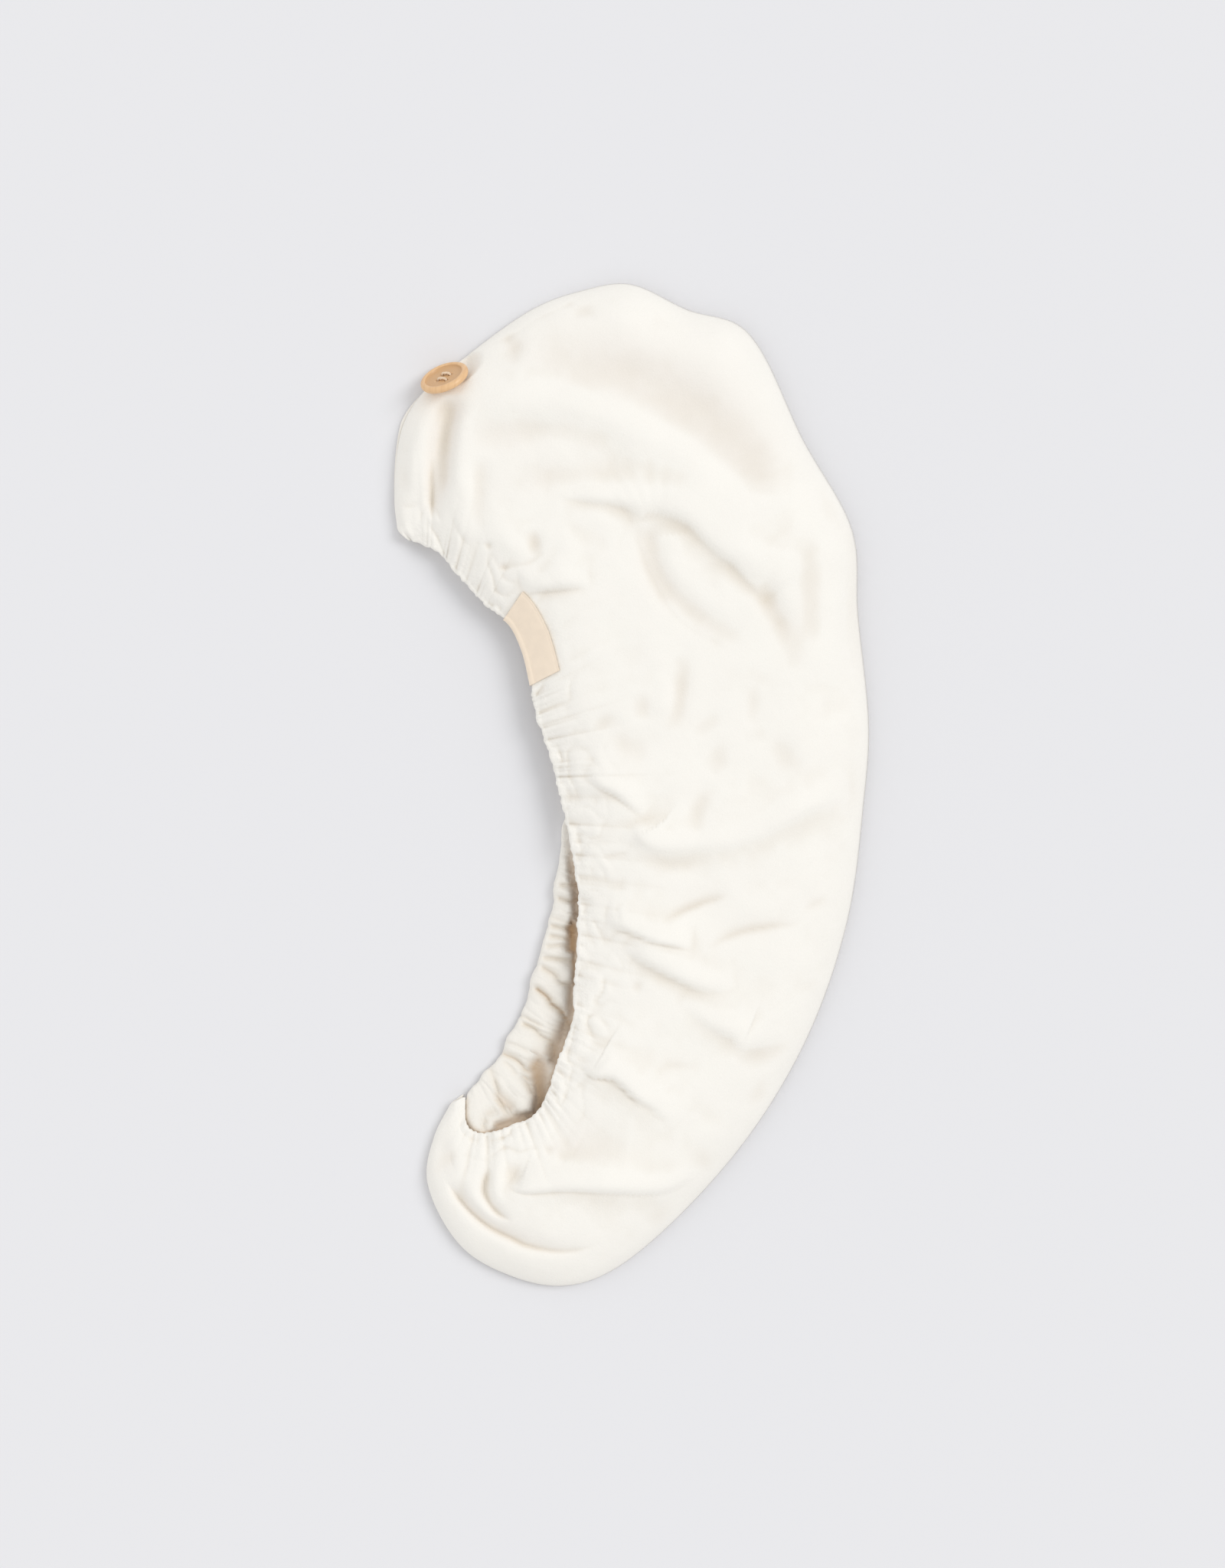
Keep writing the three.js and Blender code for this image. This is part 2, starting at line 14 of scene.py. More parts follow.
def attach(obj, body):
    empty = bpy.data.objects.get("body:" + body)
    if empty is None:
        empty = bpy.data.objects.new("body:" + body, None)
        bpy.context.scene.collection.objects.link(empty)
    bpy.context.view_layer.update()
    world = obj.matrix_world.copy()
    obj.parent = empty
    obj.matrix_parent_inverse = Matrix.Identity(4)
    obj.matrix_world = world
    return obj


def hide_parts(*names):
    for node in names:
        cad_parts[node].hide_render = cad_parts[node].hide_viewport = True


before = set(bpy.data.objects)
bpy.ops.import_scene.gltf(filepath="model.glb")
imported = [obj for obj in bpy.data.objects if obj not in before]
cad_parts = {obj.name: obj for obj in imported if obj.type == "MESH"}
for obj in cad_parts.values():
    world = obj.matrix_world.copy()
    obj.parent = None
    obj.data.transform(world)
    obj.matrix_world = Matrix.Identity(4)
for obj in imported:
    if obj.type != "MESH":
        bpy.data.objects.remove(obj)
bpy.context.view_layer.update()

MM = 0.001
SEED = 11


def table(columns, rows):
    """The rows as objects that name each value by its column."""
    return [Values(**dict(zip(columns.split(), row))) for row in rows]


# Cloth and seam
CLOTH = 2.5
GAP = 0.3
SEAM_Z = CLOTH + GAP
EDGE_ROUND = 46
EDGE_SHARE = 0.55
EDGE_POWER = 0.6
LIP_REACH = 48
LIP_SHARE = 0.6
SEAM_FADE = 16
HEM_FADE = (-4, 14)
CAVITY = 2
UNDER_POWER = 1.4
HEM_SHARE = 0.42
UPPER_HEM = Values(width=13, thickness=4.4, end_thickness=2.6)
LOWER_HEM = Values(width=17, thickness=4.2, end_thickness=2.3)

# Mesh density
UPPER_STATIONS = 470
UPPER_ROWS = 184
ROW_POWER = 0.92
UNDER_REACH = 19
WRAP_ROWS = 8
INNER_ROWS = 14
CURVE_STEPS = 4000
SEAM_SAMPLES = 300
FOLD_SAMPLES = 20

# One row for each section across the towel, from the mouth's upper corner round the convex side to its lower
# corner: a point on the seam, a point on the free edge of each hem, the height of the dome, the height of the
# upper hem and how far the lower panel shows outside the upper one.
SECTIONS = table("seam upper lower loft lip peek", [
    ((-139.5, 153), (-131.5, 146), (-130, 146), 9, 6.5, 0),
    ((-141, 170), (-130, 144.5), (-128, 146), 15, 8, 0),
    ((-136.5, 211.5), (-126.5, 144), (-126, 145), 22, 10, 4),
    ((-124.5, 232.5), (-122.5, 141.5), (-122, 144), 26, 11, 0),
    ((-100.5, 253), (-115, 138.5), (-116, 140), 28, 12, 0),
    ((-57.5, 283.5), (-103.5, 125.5), (-102, 127), 31, 13, 0),
    ((-31, 293.5), (-96, 118), (-94, 119), 33, 14, 0),
    ((-1, 298), (-88.5, 108.5), (-85, 112), 35, 15, 0),
    ((34.5, 282.5), (-80.5, 102), (-77, 105), 37, 15, 0),
    ((68, 271), (-71.5, 95.5), (-69, 97), 38, 16, 0),
    ((104, 203.5), (-63.5, 80), (-59, 79), 38, 16, 0),
    ((133, 149.5), (-58, 57.5), (-51, 54), 37, 17, 0),
    ((136, 102), (-54.5, 37.5), (-46, 33), 36, 17, 0),
    ((142.5, 33), (-46.5, 16), (-42, 10), 35, 17, 0),
    ((139.5, -12), (-41, -8.5), (-39, -13), 34, 18, 0),
    ((129.5, -83.5), (-31, -63), (-44.5, -60), 32, 19, 0),
    ((103, -158), (-33, -119.5), (-55.5, -109.5), 31, 20, 0),
    ((57.5, -228), (-43.5, -165.5), (-73.5, -154.5), 29, 20, 0),
    ((-8.5, -290), (-55, -196), (-88.5, -175.5), 26, 18, 0),
    ((-40, -300.5), (-69, -203.5), (-92, -179.5), 25, 16, 0),
    ((-71.5, -294.5), (-81, -208), (-95.5, -183.5), 24, 14, 0),
    ((-101.5, -276.5), (-91, -209), (-97.5, -186.5), 21, 12, 0),
    ((-121.5, -237.5), (-98, -203), (-98, -189.5), 17, 10, 0),
    ((-117, -210.5), (-99, -196), (-101, -190.5), 13, 8, 0),
    ((-108.5, -193.5), (-99, -189), (-100, -187.5), 9, 6.5, 0),
])

# The deepest dent of the lip, between two sections: row number, depth, and half width in rows
LIP_DENT = Values(row=16.5, depth=3.1, width=0.37)

# Long folds: the cloth on the left of the path stands higher by rise. left and right are the widths of the
# step on either side, and spread is how far the high side reaches. A path's points are x, y and the share of
# the rise, which is left out where it is usual: 0 at the path's ends and 1 between.
STEPS = table("rise left right spread crease path", [
    # crown
    (6.5, 8, 1.6, 13, 1.6, [(-50, 169), (-36, 167, 0.5), (-22, 165), (-11, 164), (1, 160, 0.8), (8, 155)]),
    (10, 10, 2.2, 20, 1.2, [(1, 153), (7, 157, 0.3), (13, 159, 0.6), (20, 158, 0.9), (28, 155), (35, 151),
        (40, 146), (47, 139), (54, 133), (60, 129), (67, 121, 0.9), (74, 114, 0.6), (79, 107)]),
    (3, 9, 1.6, 18, 0.5, [(7, 155), (5, 145, 0.5), (8, 135, 0.9), (12, 124), (18, 113), (23, 104),
        (31, 95, 0.9), (43, 88, 0.7), (54, 82, 0.4), (64, 75)]),
    (3, 6, 6, 16, 0, [(85, 139), (84, 130, 0.6), (83, 120), (81, 108, 0.9), (79, 96)]),
    (4, 8, 8, 22, 0, [(108, 160), (107, 129, 0.7), (105, 106), (102, 81), (101, 58)]),
    # west end of the crown
    (4, 6, 1.5, 13, 0.6, [(-109, 227), (-113, 218, 0.5), (-116, 207, 0.9), (-117, 193), (-118, 178),
        (-118, 166, 0.9), (-118, 156, 0.4), (-118, 145)]),
    # beside the mouth
    (5, 5, 0.9, 12, 1.8, [(-64, 111), (-60, 112, 0.8), (-51, 113), (-39, 114), (-31, 115, 0.6), (-24, 115)]),
    (5, 1.6, 4.5, 12, 1.6, [(-29, 3), (-24, 0, 0.8), (-18, -4), (-10, -8), (-3, -13, 0.9), (8, -21)]),
    # arm
    (8, 5.5, 3.5, 15, 0.8, [(0, -24), (3, -33, 0.9), (10, -39), (21, -42), (35, -41, 0.8), (58, -39, 0.55),
        (81, -31, 0.6), (103, -19, 0.8), (119, -13, 0.5), (133, -10)]),
    (7, 1.6, 7, 14, 1.4, [(-16, -85), (-10, -86, 0.8), (-1, -89), (12, -94), (26, -97, 0.9), (37, -98)]),
    (8, 6, 1.6, 15, 1.8, [(-5, -97), (5, -105, 0.8), (14, -110), (26, -116), (37, -121, 0.9), (49, -123, 0.5),
        (63, -121)]),
    (6.5, 6, 2.5, 15, 1.2, [(28, -130), (42, -141, 0.8), (51, -147), (59, -151), (65, -157, 0.8),
        (76, -157, 0.4), (100, -153)]),
    (9, 2, 7, 16, 1.8, [(-33, -162), (-30, -167, 0.6), (-24, -174), (-11, -176), (3, -188, 0.9),
        (13, -194, 0.5), (25, -205)]),
    # tail
    (6, 2.5, 5, 13, 1.2, [(-73, -239), (-65, -243), (-38, -242), (-11, -243), (21, -243, 0.8),
        (35, -237, 0.4), (47, -231)]),
])

# Narrow grooves: depth, and the width of the flank on each side of the path, with shares as above
CREASES = table("depth left right path", [
    # west end of the crown
    (3.6, 2.4, 1.2, [(-117, 193), (-118, 183, 0.8), (-118, 175), (-118, 164), (-118, 155, 0.5), (-117, 145)]),
    (3, 4, 3, [(-120, 233), (-127, 226, 0.7), (-133, 215), (-137, 201), (-138, 186), (-138, 172)]),
    (1.6, 1.5, 1.5, [(-121, 165), (-124, 160), (-126, 153), (-128, 147)]),
    (1.2, 1.3, 1.3, [(-116, 164), (-114, 159), (-112, 151), (-113, 143)]),
    (1.1, 1.3, 1.3, [(-103, 144), (-106, 142), (-108, 138)]),
    (1.2, 1.5, 1.5, [(-140, 169), (-137, 166), (-132, 164), (-128, 164)]),
    (1, 1.5, 1.5, [(-129, 162), (-130, 156), (-133, 150)]),
    (1.2, 1.6, 1.6, [(-100, 254), (-92, 258, 0.6), (-81, 262, 0.8), (-72, 265), (-56, 275, 0.7), (-37, 284),
        (-30, 288)]),
    # gathers above the label
    (1.3, 4, 1.2, [(-79, 126), (-74, 127), (-68, 128, 0.8), (-61, 129), (-56, 132, 0.8), (-51, 136)]),
    (1.1, 1.4, 1.4, [(-102, 123), (-97, 126), (-91, 129)]),
    (1.4, 2.5, 1.4, [(-83, 114), (-80, 119), (-76, 123)]),
    (0.9, 1.3, 1.3, [(-46, 50), (-40, 52), (-34, 55)]),
    # beside the mouth
    (0.9, 1.5, 1.5, [(-18, -44), (-13, -43), (-6, -42), (1, -41)]),
    (0.6, 1.5, 1.5, [(-13, -60), (-7, -61), (0, -65)]),
    (0.5, 1.5, 1.5, [(-24, -69), (-19, -68), (-13, -67)]),
    (0.8, 2.5, 2, [(-25, -136), (-18, -141), (-11, -145)]),
    # arm
    (2.6, 5, 3, [(18, -82), (30, -76), (45, -70), (60, -66)]),
    (2.4, 5, 3.5, [(44, -98), (62, -89), (81, -85), (101, -83)]),
    (0.8, 4, 3, [(101, -76), (110, -71), (118, -68)]),
    (1, 5, 4, [(14, -170), (26, -167), (42, -169)]),
    # tail
    (4, 3, 2, [(-84, -228), (-86, -235, 0.9), (-87, -242), (-84, -249), (-79, -255), (-70, -260)]),
    (6.5, 5.5, 2.2, [(-110, -237), (-102, -247, 0.8), (-95, -255), (-84, -264), (-72, -270), (-61, -275, 0.8),
        (-38, -278, 0.4), (-19, -274)]),
    (1, 1.5, 1.5, [(-97, -214), (-96, -222), (-97, -228), (-100, -235)]),
    (0.8, 1.4, 1.4, [(-77, -216), (-76, -222), (-71, -227)]),
    (0.9, 1.4, 1.4, [(-64, -209), (-61, -213), (-58, -219)]),
    (0.8, 1.6, 1.6, [(-105, -215), (-107, -223), (-104, -232)]),
])

# Broad soft ridges, and hollows where rise is negative, with shares as above
BANDS = table("rise width path", [
    # crown
    (-7, 21, [(-65, 252, 0.2), (-24, 248, 0.8), (17, 235), (49, 213), (71, 184, 0.8), (81, 162)]),
    (5, 15, [(-102, 232), (-56, 226, 0.7), (-15, 213), (26, 195), (58, 170, 0.9), (85, 143)]),
    (-3, 11, [(-102, 210), (-79, 206), (-40, 210), (-15, 203), (-3, 195)]),
    (-2.6, 11, [(-86, 172), (-61, 180, 0.9), (-29, 180), (-7, 187, 0.7), (1, 195)]),
    (-1.6, 6, [(-69, 268), (-68, 258), (-71, 246)]),
    (-1.5, 7, [(-36, 286), (-27, 280), (-22, 273)]),
    (-5, 8, [(9, 152), (11, 143, 0.7), (14, 128), (22, 114), (34, 102, 0.9), (49, 91, 0.6), (65, 80)]),
    (-2, 7, [(84, 137), (83, 127, 0.8), (82, 116), (81, 106, 0.8), (78, 95)]),
    (-4.6, 10, [(109, 152), (108, 131, 0.6), (107, 111), (106, 88, 0.9), (103, 61)]),
    (-3.4, 8, [(53, 137), (68, 123, 0.8), (80, 109), (88, 94, 0.9), (94, 79, 0.5), (99, 63)]),
    # west end of the crown
    (-12, 7, [(-106, 230), (-108, 220, 0.7), (-110, 209), (-112, 195), (-113, 181, 0.9), (-115, 170, 0.55),
        (-117, 155)]),
    (1.6, 8, [(-102, 197), (-99, 181, 0.9), (-98, 165), (-101, 149, 0.7), (-105, 136)]),
    (-2.2, 6, [(-87, 193), (-89, 179), (-90, 163), (-93, 145)]),
    (2.5, 5, [(-126, 222), (-129, 204), (-131, 186), (-129, 170)]),
    # above the label
    (-2.2, 4.5, [(-59, 150), (-57, 142), (-58, 133)]),
    (1.6, 7, [(-84, 152), (-71, 140), (-65, 133)]),
    (1.8, 8, [(-52, 152), (-38, 140), (-40, 127), (-47, 120)]),
    (1.5, 7, [(-36, 158), (-18, 153), (-4, 147)]),
    # middle
    (-2.2, 6, [(32, 76), (30, 60), (28, 44), (25, 29)]),
    (1.2, 6, [(20, 65), (20, 51), (19, 38)]),
    (-1.6, 6, [(8, 54), (7, 44), (6, 35)]),
    (-1.5, 5, [(-5, 39), (-15, 36), (-25, 34)]),
    (-2, 9, [(-15, 29), (-3, 23), (15, 14)]),
    (-1.2, 6, [(52, 29), (51, 14), (49, 0)]),
    (-1.2, 5, [(72, 58), (72, 46), (71, 33)]),
    (-1.2, 6, [(34, 28), (44, 33), (54, 40)]),
    (-1.6, 6, [(49, 1), (41, -13), (39, -22), (42, -33)]),
    (-1.2, 8, [(81, 29), (90, 17), (102, 6)]),
    # arm and tail
    (-1.4, 7, [(7, -43), (26, -48), (49, -44)]),
    (-1.6, 9, [(26, -125), (46, -134), (62, -140)]),
    (-1.8, 9, [(60, -159), (78, -160), (101, -155)]),
    (-1.8, 8, [(-55, -216), (-36, -219), (-11, -218)]),
    (2, 9, [(-61, -231), (-38, -232), (-11, -232), (12, -231)]),
    (-2.6, 5.5, [(-71, -222), (-69, -232), (-65, -241)]),
    (2, 4, [(-71, -218), (-79, -228), (-80, -241), (-76, -251)]),
    (1.8, 5, [(-92, -232), (-94, -243), (-86, -254), (-75, -263)]),
    (-1.3, 7, [(8, -266), (20, -260), (31, -252)]),
    (-1.3, 8, [(81, -172), (79, -184), (74, -195)]),
    (-5, 9, [(-104, -196), (-111, -207), (-114, -221), (-111, -238)]),
    (-2.6, 13, [(-44, -201), (-33, -209), (-15, -214, 0.8), (-1, -216)]),
])

# Small round dents
DIMPLES = table("x y depth radius", [
    (-73, 264, 1.4, 3), (-37, 285, 1.2, 3), (-84, 140, 1.4, 2.2), (-75, 127, 1.3, 1.8), (-56, 138, 0.8, 5),
    (-34, 31, 0.9, 2.2), (-21, -12, 0.9, 2.8), (4, -120, 1, 3.4), (-48, -217, 1.5, 3), (-40, -222, 0.8, 4),
    (-56, 115, 0.6, 4), (-35, 15, 0.8, 3), (-29, -25, 0.7, 3), (-129, 165, 1, 3), (-135, 154, 1, 3),
])

# Valleys between the rolls of cloth that show in the mouth. Path: x, y.
MOUTH_CREASES = table("depth width path", [
    (2.5, 1.8, [(-41, -61), (-30.5, -61)]),
    (3, 1.8, [(-42, -69), (-36, -70.5), (-29, -70)]),
    (1.5, 1.6, [(-47, -80.5), (-41.5, -82), (-36.5, -83.5)]),
    (3, 1.6, [(-46.5, -85.5), (-40, -86.5), (-33, -87.5)]),
    (3, 1.6, [(-47, -91.5), (-40, -92.5), (-33.5, -94)]),
    (2.6, 1.6, [(-49, -97.5), (-40, -97), (-33.5, -99.5)]),
    (3, 1.8, [(-51, -104.5), (-43.5, -105), (-36, -106), (-32, -107.5)]),
    (3.4, 1.8, [(-52, -110.5), (-45.5, -114.5), (-41, -119.5), (-35, -120)]),
    (5, 2.2, [(-55.5, -123), (-49.5, -128), (-46.5, -132.5), (-41.5, -135.5)]),
    (5.5, 1.8, [(-41.5, -135.5), (-39, -140.5), (-33.5, -148.5)]),
    (2, 1.6, [(-67.5, -138.5), (-61, -141), (-54, -144.5)]),
    (3.4, 1.8, [(-63.5, -144), (-57.5, -146.5), (-53, -151), (-48.5, -153.5)]),
    (5, 3.4, [(-47.5, -154), (-45.5, -159.5), (-44, -165)]),
    (1.2, 1.6, [(-73, -155), (-67.5, -156.5), (-61, -160.5)]),
    (4, 2, [(-75.5, -162), (-67.5, -165.5), (-63, -170.5), (-62, -177.5), (-59, -184)]),
    (1.8, 1.5, [(-74.5, -167), (-70.5, -170), (-68, -174)]),
    (5.5, 4, [(-57.5, -169.5), (-55.5, -177.5), (-53.5, -186), (-53, -193)]),
    (3, 1.6, [(-81, -177.5), (-79, -183.5), (-78.5, -191), (-74, -194.5), (-70.5, -195)]),
    (3, 2, [(-87.5, -205), (-84.5, -198), (-77.5, -196), (-67.5, -198), (-56.5, -197)]),
    (2.2, 2.4, [(-83.5, -171.5), (-81, -177.5)]),
    (2.4, 2, [(-99, -193), (-99, -199.5), (-97.5, -205.5), (-91, -209)]),
])

# Hollows between those rolls and the upper hem; tone is the share of the deepest colour, the painted deep
# shade. Path: x, y.
MOUTH_HOLLOWS = table("depth width tone path", [
    (2, 2.4, 0.45, [(-39, -21.5), (-38, -28.5), (-36.5, -41)]),
    (4, 2.4, 0.5, [(-36, -44.5), (-34, -58), (-32.5, -69.5), (-32.5, -81)]),
    (7, 2.3, 1, [(-35.5, -86.5), (-35, -93), (-35, -99)]),
    (4, 1, 0.7, [(-34, -101), (-34, -120)]),
    (5, 2.3, 0.55, [(-35, -123), (-35.5, -133), (-36.5, -142)]),
    (6, 3, 0.55, [(-39.5, -145), (-43.5, -155), (-46.5, -162)]),
    (7, 3.2, 0.75, [(-56.5, -170.5), (-55, -181.5), (-54, -188.5), (-54.5, -195)]),
    (6, 2.7, 0.6, [(-61, -199.5), (-70, -201.5), (-79, -204.5)]),
    (2.5, 1.8, 0.35, [(-77, -190.5), (-74, -193)]),
])

REACH = 2.6
CREASE_ROUND = 0.6
LINE_WIDTH = 1.5

# Tones, as linear red, green and blue
CREAM = (0.94, 0.915, 0.86)
# Painted shade: darker, warmer cream in the hollows of the folds
HOLLOW_SHADE = (0.895, 0.855, 0.80)
# Painted shade in the creases and in the valleys between the rolls in the mouth
CREASE_SHADE = (0.77, 0.705, 0.61)
# Painted shade: dark warm brown inside the mouth, under the upper hem and under the upper cloth
DEEP_SHADE = (0.62, 0.43, 0.26)
# A darker copy of the cream: painted shade for the lower panel, which lies under the upper one
INSIDE_SHADE_TONE = (0.91, 0.875, 0.81)
# A darker copy of the cream: painted shade for the ruffled lower hem in the mouth
HEM_SHADE_TONE = (0.91, 0.88, 0.82)
LABEL_TONE = (0.99, 0.845, 0.68)
THREAD_TONE = (0.96, 0.79, 0.60)
# Light and dark fibres and growth lines, then painted shade for the button's recess
WOOD_TONES = ((0.84, 0.55, 0.295), (0.79, 0.49, 0.25), (0.62, 0.36, 0.17), (0.66, 0.40, 0.195))


def smoothstep(value, low, high):
    share = np.clip((value - low) / (high - low), 0, 1)
    return share * share * (3 - 2 * share)


def lerp(start, end, share):
    return start + (end - start) * share


def bell(value, width):
    return np.exp(-((value / width) ** 2))


def even_shares(steps):
    return np.linspace(0, 1, steps + 1)


# Curves through the table

def curve_points(rows, count):
    """Centripetal curve through a table's points, at count + 1 places that are even in the row number."""
    rows = np.asarray(rows, float)
    padded = np.vstack([2 * rows[0] - rows[1], rows, 2 * rows[-1] - rows[-2]])
    place = np.linspace(0, len(rows) - 1, count + 1)
    row = np.minimum(place.astype(int), len(rows) - 2)
    w = (place - row)[:, None]
    p0, p1, p2, p3 = (padded[row + k] for k in range(4))
    spans = ((p0, p1), (p1, p2), (p2, p3))
    d01, d12, d23 = (np.linalg.norm(b - a, axis=1)[:, None] ** 0.5 for a, b in spans)
    start = ((p1 - p0) / d01 - (p2 - p0) / (d01 + d12) + (p2 - p1) / d12) * d12
    end = ((p2 - p1) / d12 - (p3 - p1) / (d12 + d23) + (p3 - p2) / d23) * d12
    step = p2 - p1
    return p1 + start * w + (3 * step - 2 * start - end) * w ** 2 + (start + end - 2 * step) * w ** 3


def column_of(name):
    return [getattr(row, name) for row in SECTIONS]


class Line:
    """One column of SECTIONS as a curve over t, which runs from 0 to 1 evenly in the row number."""

    def __init__(self, column, dent=None):
        self.t = even_shares(CURVE_STEPS)
        self.points = curve_points(column_of(column), CURVE_STEPS)
        if dent:
            ahead = np.gradient(self.points, axis=0)
            ahead /= np.linalg.norm(ahead, axis=1)[:, None]
            rows_away = self.t * (len(SECTIONS) - 1) - dent.row
            depth = dent.depth * bell(rows_away, dent.width)
            self.points += np.stack([-ahead[:, 1], ahead[:, 0]], -1) * depth[:, None]
        steps = np.linalg.norm(np.diff(self.points, axis=0), axis=1)
        self.along = np.concatenate([[0], np.cumsum(steps)])
        self.length = self.along[-1]

    def at(self, t):
        return np.stack([np.interp(t, self.t, self.points[:, k]) for k in (0, 1)], -1)

    def distance_at(self, t):
        return np.interp(t, self.t, self.along)

    def t_at(self, distance):
        return np.interp(distance, self.along, self.t)


SEAM = Line("seam")
UPPER_EDGE = Line("upper", LIP_DENT)
LOWER_EDGE = Line("lower")


def section_value(column, t):
    return np.interp(t, np.linspace(0, 1, len(SECTIONS)), column_of(column))


def even_stations(lines, count):
    """Parameters that step evenly along the lines and the row number taken together."""
    shares = [line.along / line.length for line in lines]
    mean = (sum(shares) + even_shares(CURVE_STEPS)) / (len(lines) + 1)
    return np.interp(even_shares(count), mean, even_shares(CURVE_STEPS))


def nearest(path, x, y):
    """Distance of points to a path, the same signed (left positive), and the path's last column there."""
    distance = np.full(x.shape, np.inf)
    side = np.zeros(x.shape)
    value = np.zeros(x.shape)
    for a, b in zip(path[:-1], path[1:]):
        dx, dy = b[:2] - a[:2]
        along = np.clip(((x - a[0]) * dx + (y - a[1]) * dy) / (dx * dx + dy * dy), 0, 1)
        off_x = x - a[0] - along * dx
        off_y = y - a[1] - along * dy
        here = np.hypot(off_x, off_y)
        closer = here < distance
        distance = np.where(closer, here, distance)
        side = np.where(closer, here * np.sign(dx * off_y - dy * off_x), side)
        value = np.where(closer, lerp(a[-1], b[-1], along), value)
    return distance, side, value


for row in STEPS + CREASES + BANDS:
    usual = [0] + [1] * (len(row.path) - 2) + [0]
    row.path = [(*point, share)[:3] for point, share in zip(row.path, usual)]
for row in STEPS + CREASES + BANDS + MOUTH_CREASES + MOUTH_HOLLOWS:
    row.curve = curve_points(row.path, FOLD_SAMPLES)


def around(row, x, y, width):
    """Mask of the points that a fold can reach, and nearest() of its curve for them."""
    low = row.curve.min(axis=0) - REACH * width
    high = row.curve.max(axis=0) + REACH * width
    near = (x > low[0]) & (x < high[0]) & (y > low[1]) & (y < high[1])
    return near, nearest(row.curve, x[near], y[near])


def rounded(distance):
    return np.hypot(distance, CREASE_ROUND) - CREASE_ROUND


def relief(x, y):
    """Height that the folds, creases, ridges, hollows and dimples add to the upper cloth."""
    total = np.zeros(x.shape)
    for row in STEPS:
        near, (distance, side, share) = around(row, x, y, max(row.spread, row.right))
        high = 1 - 0.5 * np.exp(-np.maximum(side, 0) / row.left)
        low = 0.5 * np.exp(np.minimum(side, 0) / row.right)
        height = np.where(side > 0, high, low) * bell(distance, row.spread)
        line = np.exp(-rounded(distance) / LINE_WIDTH)
        total[near] += (row.rise * height - row.crease * line) * share
    for row in CREASES:
        near, (distance, side, share) = around(row, x, y, 2 * max(row.left, row.right))
        flank = np.exp(-rounded(distance) / np.where(side > 0, row.left, row.right))
        total[near] -= row.depth * flank * share
    for row in BANDS:
        near, (distance, side, share) = around(row, x, y, row.width)
        total[near] += row.rise * bell(distance, row.width) * share
    for dent in DIMPLES:
        total -= dent.depth * np.exp(-((x - dent.x) ** 2 + (y - dent.y) ** 2) / dent.radius ** 2)
    return total


# Button, and the plane of cloth behind it

BUTTON = Values(radius=15, thickness=4.6, at=(-110.5, 240.5, 15.6), tilt=57, heading=113, turn=-40)
SHANK_LENGTH = 0.8
SEAT_RADIUS = 16.3
SEAT_RISE = 1.2
SEAT_CLEARANCE = 1
SEAT_FLOOR = 1.2


def seat_height(x, y):
    """Height of the plane that leans with the button behind its shank and rises away from it."""
    tilt, heading = map(math.radians, (BUTTON.tilt, BUTTON.heading))
    dx = x - BUTTON.at[0]
    dy = y - BUTTON.at[1]
    inward = -dx * math.cos(heading) - dy * math.sin(heading)
    sideways = dy * math.cos(heading) - dx * math.sin(heading)
    behind = BUTTON.thickness / 2 + SHANK_LENGTH + SEAT_CLEARANCE
    plane = BUTTON.at[2] - behind / math.cos(tilt) + inward * math.tan(tilt)
    away = np.maximum(0, np.hypot(sideways, inward / math.cos(tilt)) - SEAT_RADIUS)
    return np.maximum(plane + away * SEAT_RISE, SEAM_Z + SEAT_FLOOR)


# Gathers along a hem: narrow pleats of uneven width

PLEAT_POWER = 0.8
PLEAT_MIDDLE = 0.6
PLEAT_SPREAD = 0.45


def puckers(length, mean_width, seed):
    """Pleats as a function of the distance along a hem: (height 0..1, the pleat's own number 0..1)."""
    draw = np.random.default_rng(seed)
    count = int(length / mean_width)
    widths = mean_width * (1 + PLEAT_SPREAD * draw.uniform(-1, 1, count))
    borders = np.concatenate([[0], np.cumsum(widths)]) * length / widths.sum()
    tall = draw.uniform(0, 1, count)

    def at(distance):
        place = np.interp(distance, borders, np.arange(count + 1))
        index = np.clip(place.astype(int), 0, count - 1)
        return np.abs(np.sin(math.pi * place)) ** PLEAT_POWER, tall[index]

    return at


class Spokes:
    """Straight sections from the free edge of a hem to the seam; its arrays hold one row for each station."""

    def __init__(self, edge, t, hem, extra=0):
        self.t = t[:, None]
        self.start = edge.at(t)
        end = SEAM.at(t)
        length = np.linalg.norm(end - self.start, axis=1)[:, None]
        self.direction = (end - self.start) / length
        self.length = length + extra
        self.hem_width = hem.width * (1 - np.exp(-HEM_SHARE * self.length / hem.width))
        self.along = edge.distance_at(self.t)

    def point(self, distance):
        """x and y at distances from the free edge."""
        x = self.start[:, :1] + self.direction[:, :1] * distance
        y = self.start[:, 1:] + self.direction[:, 1:] * distance
        return x, y


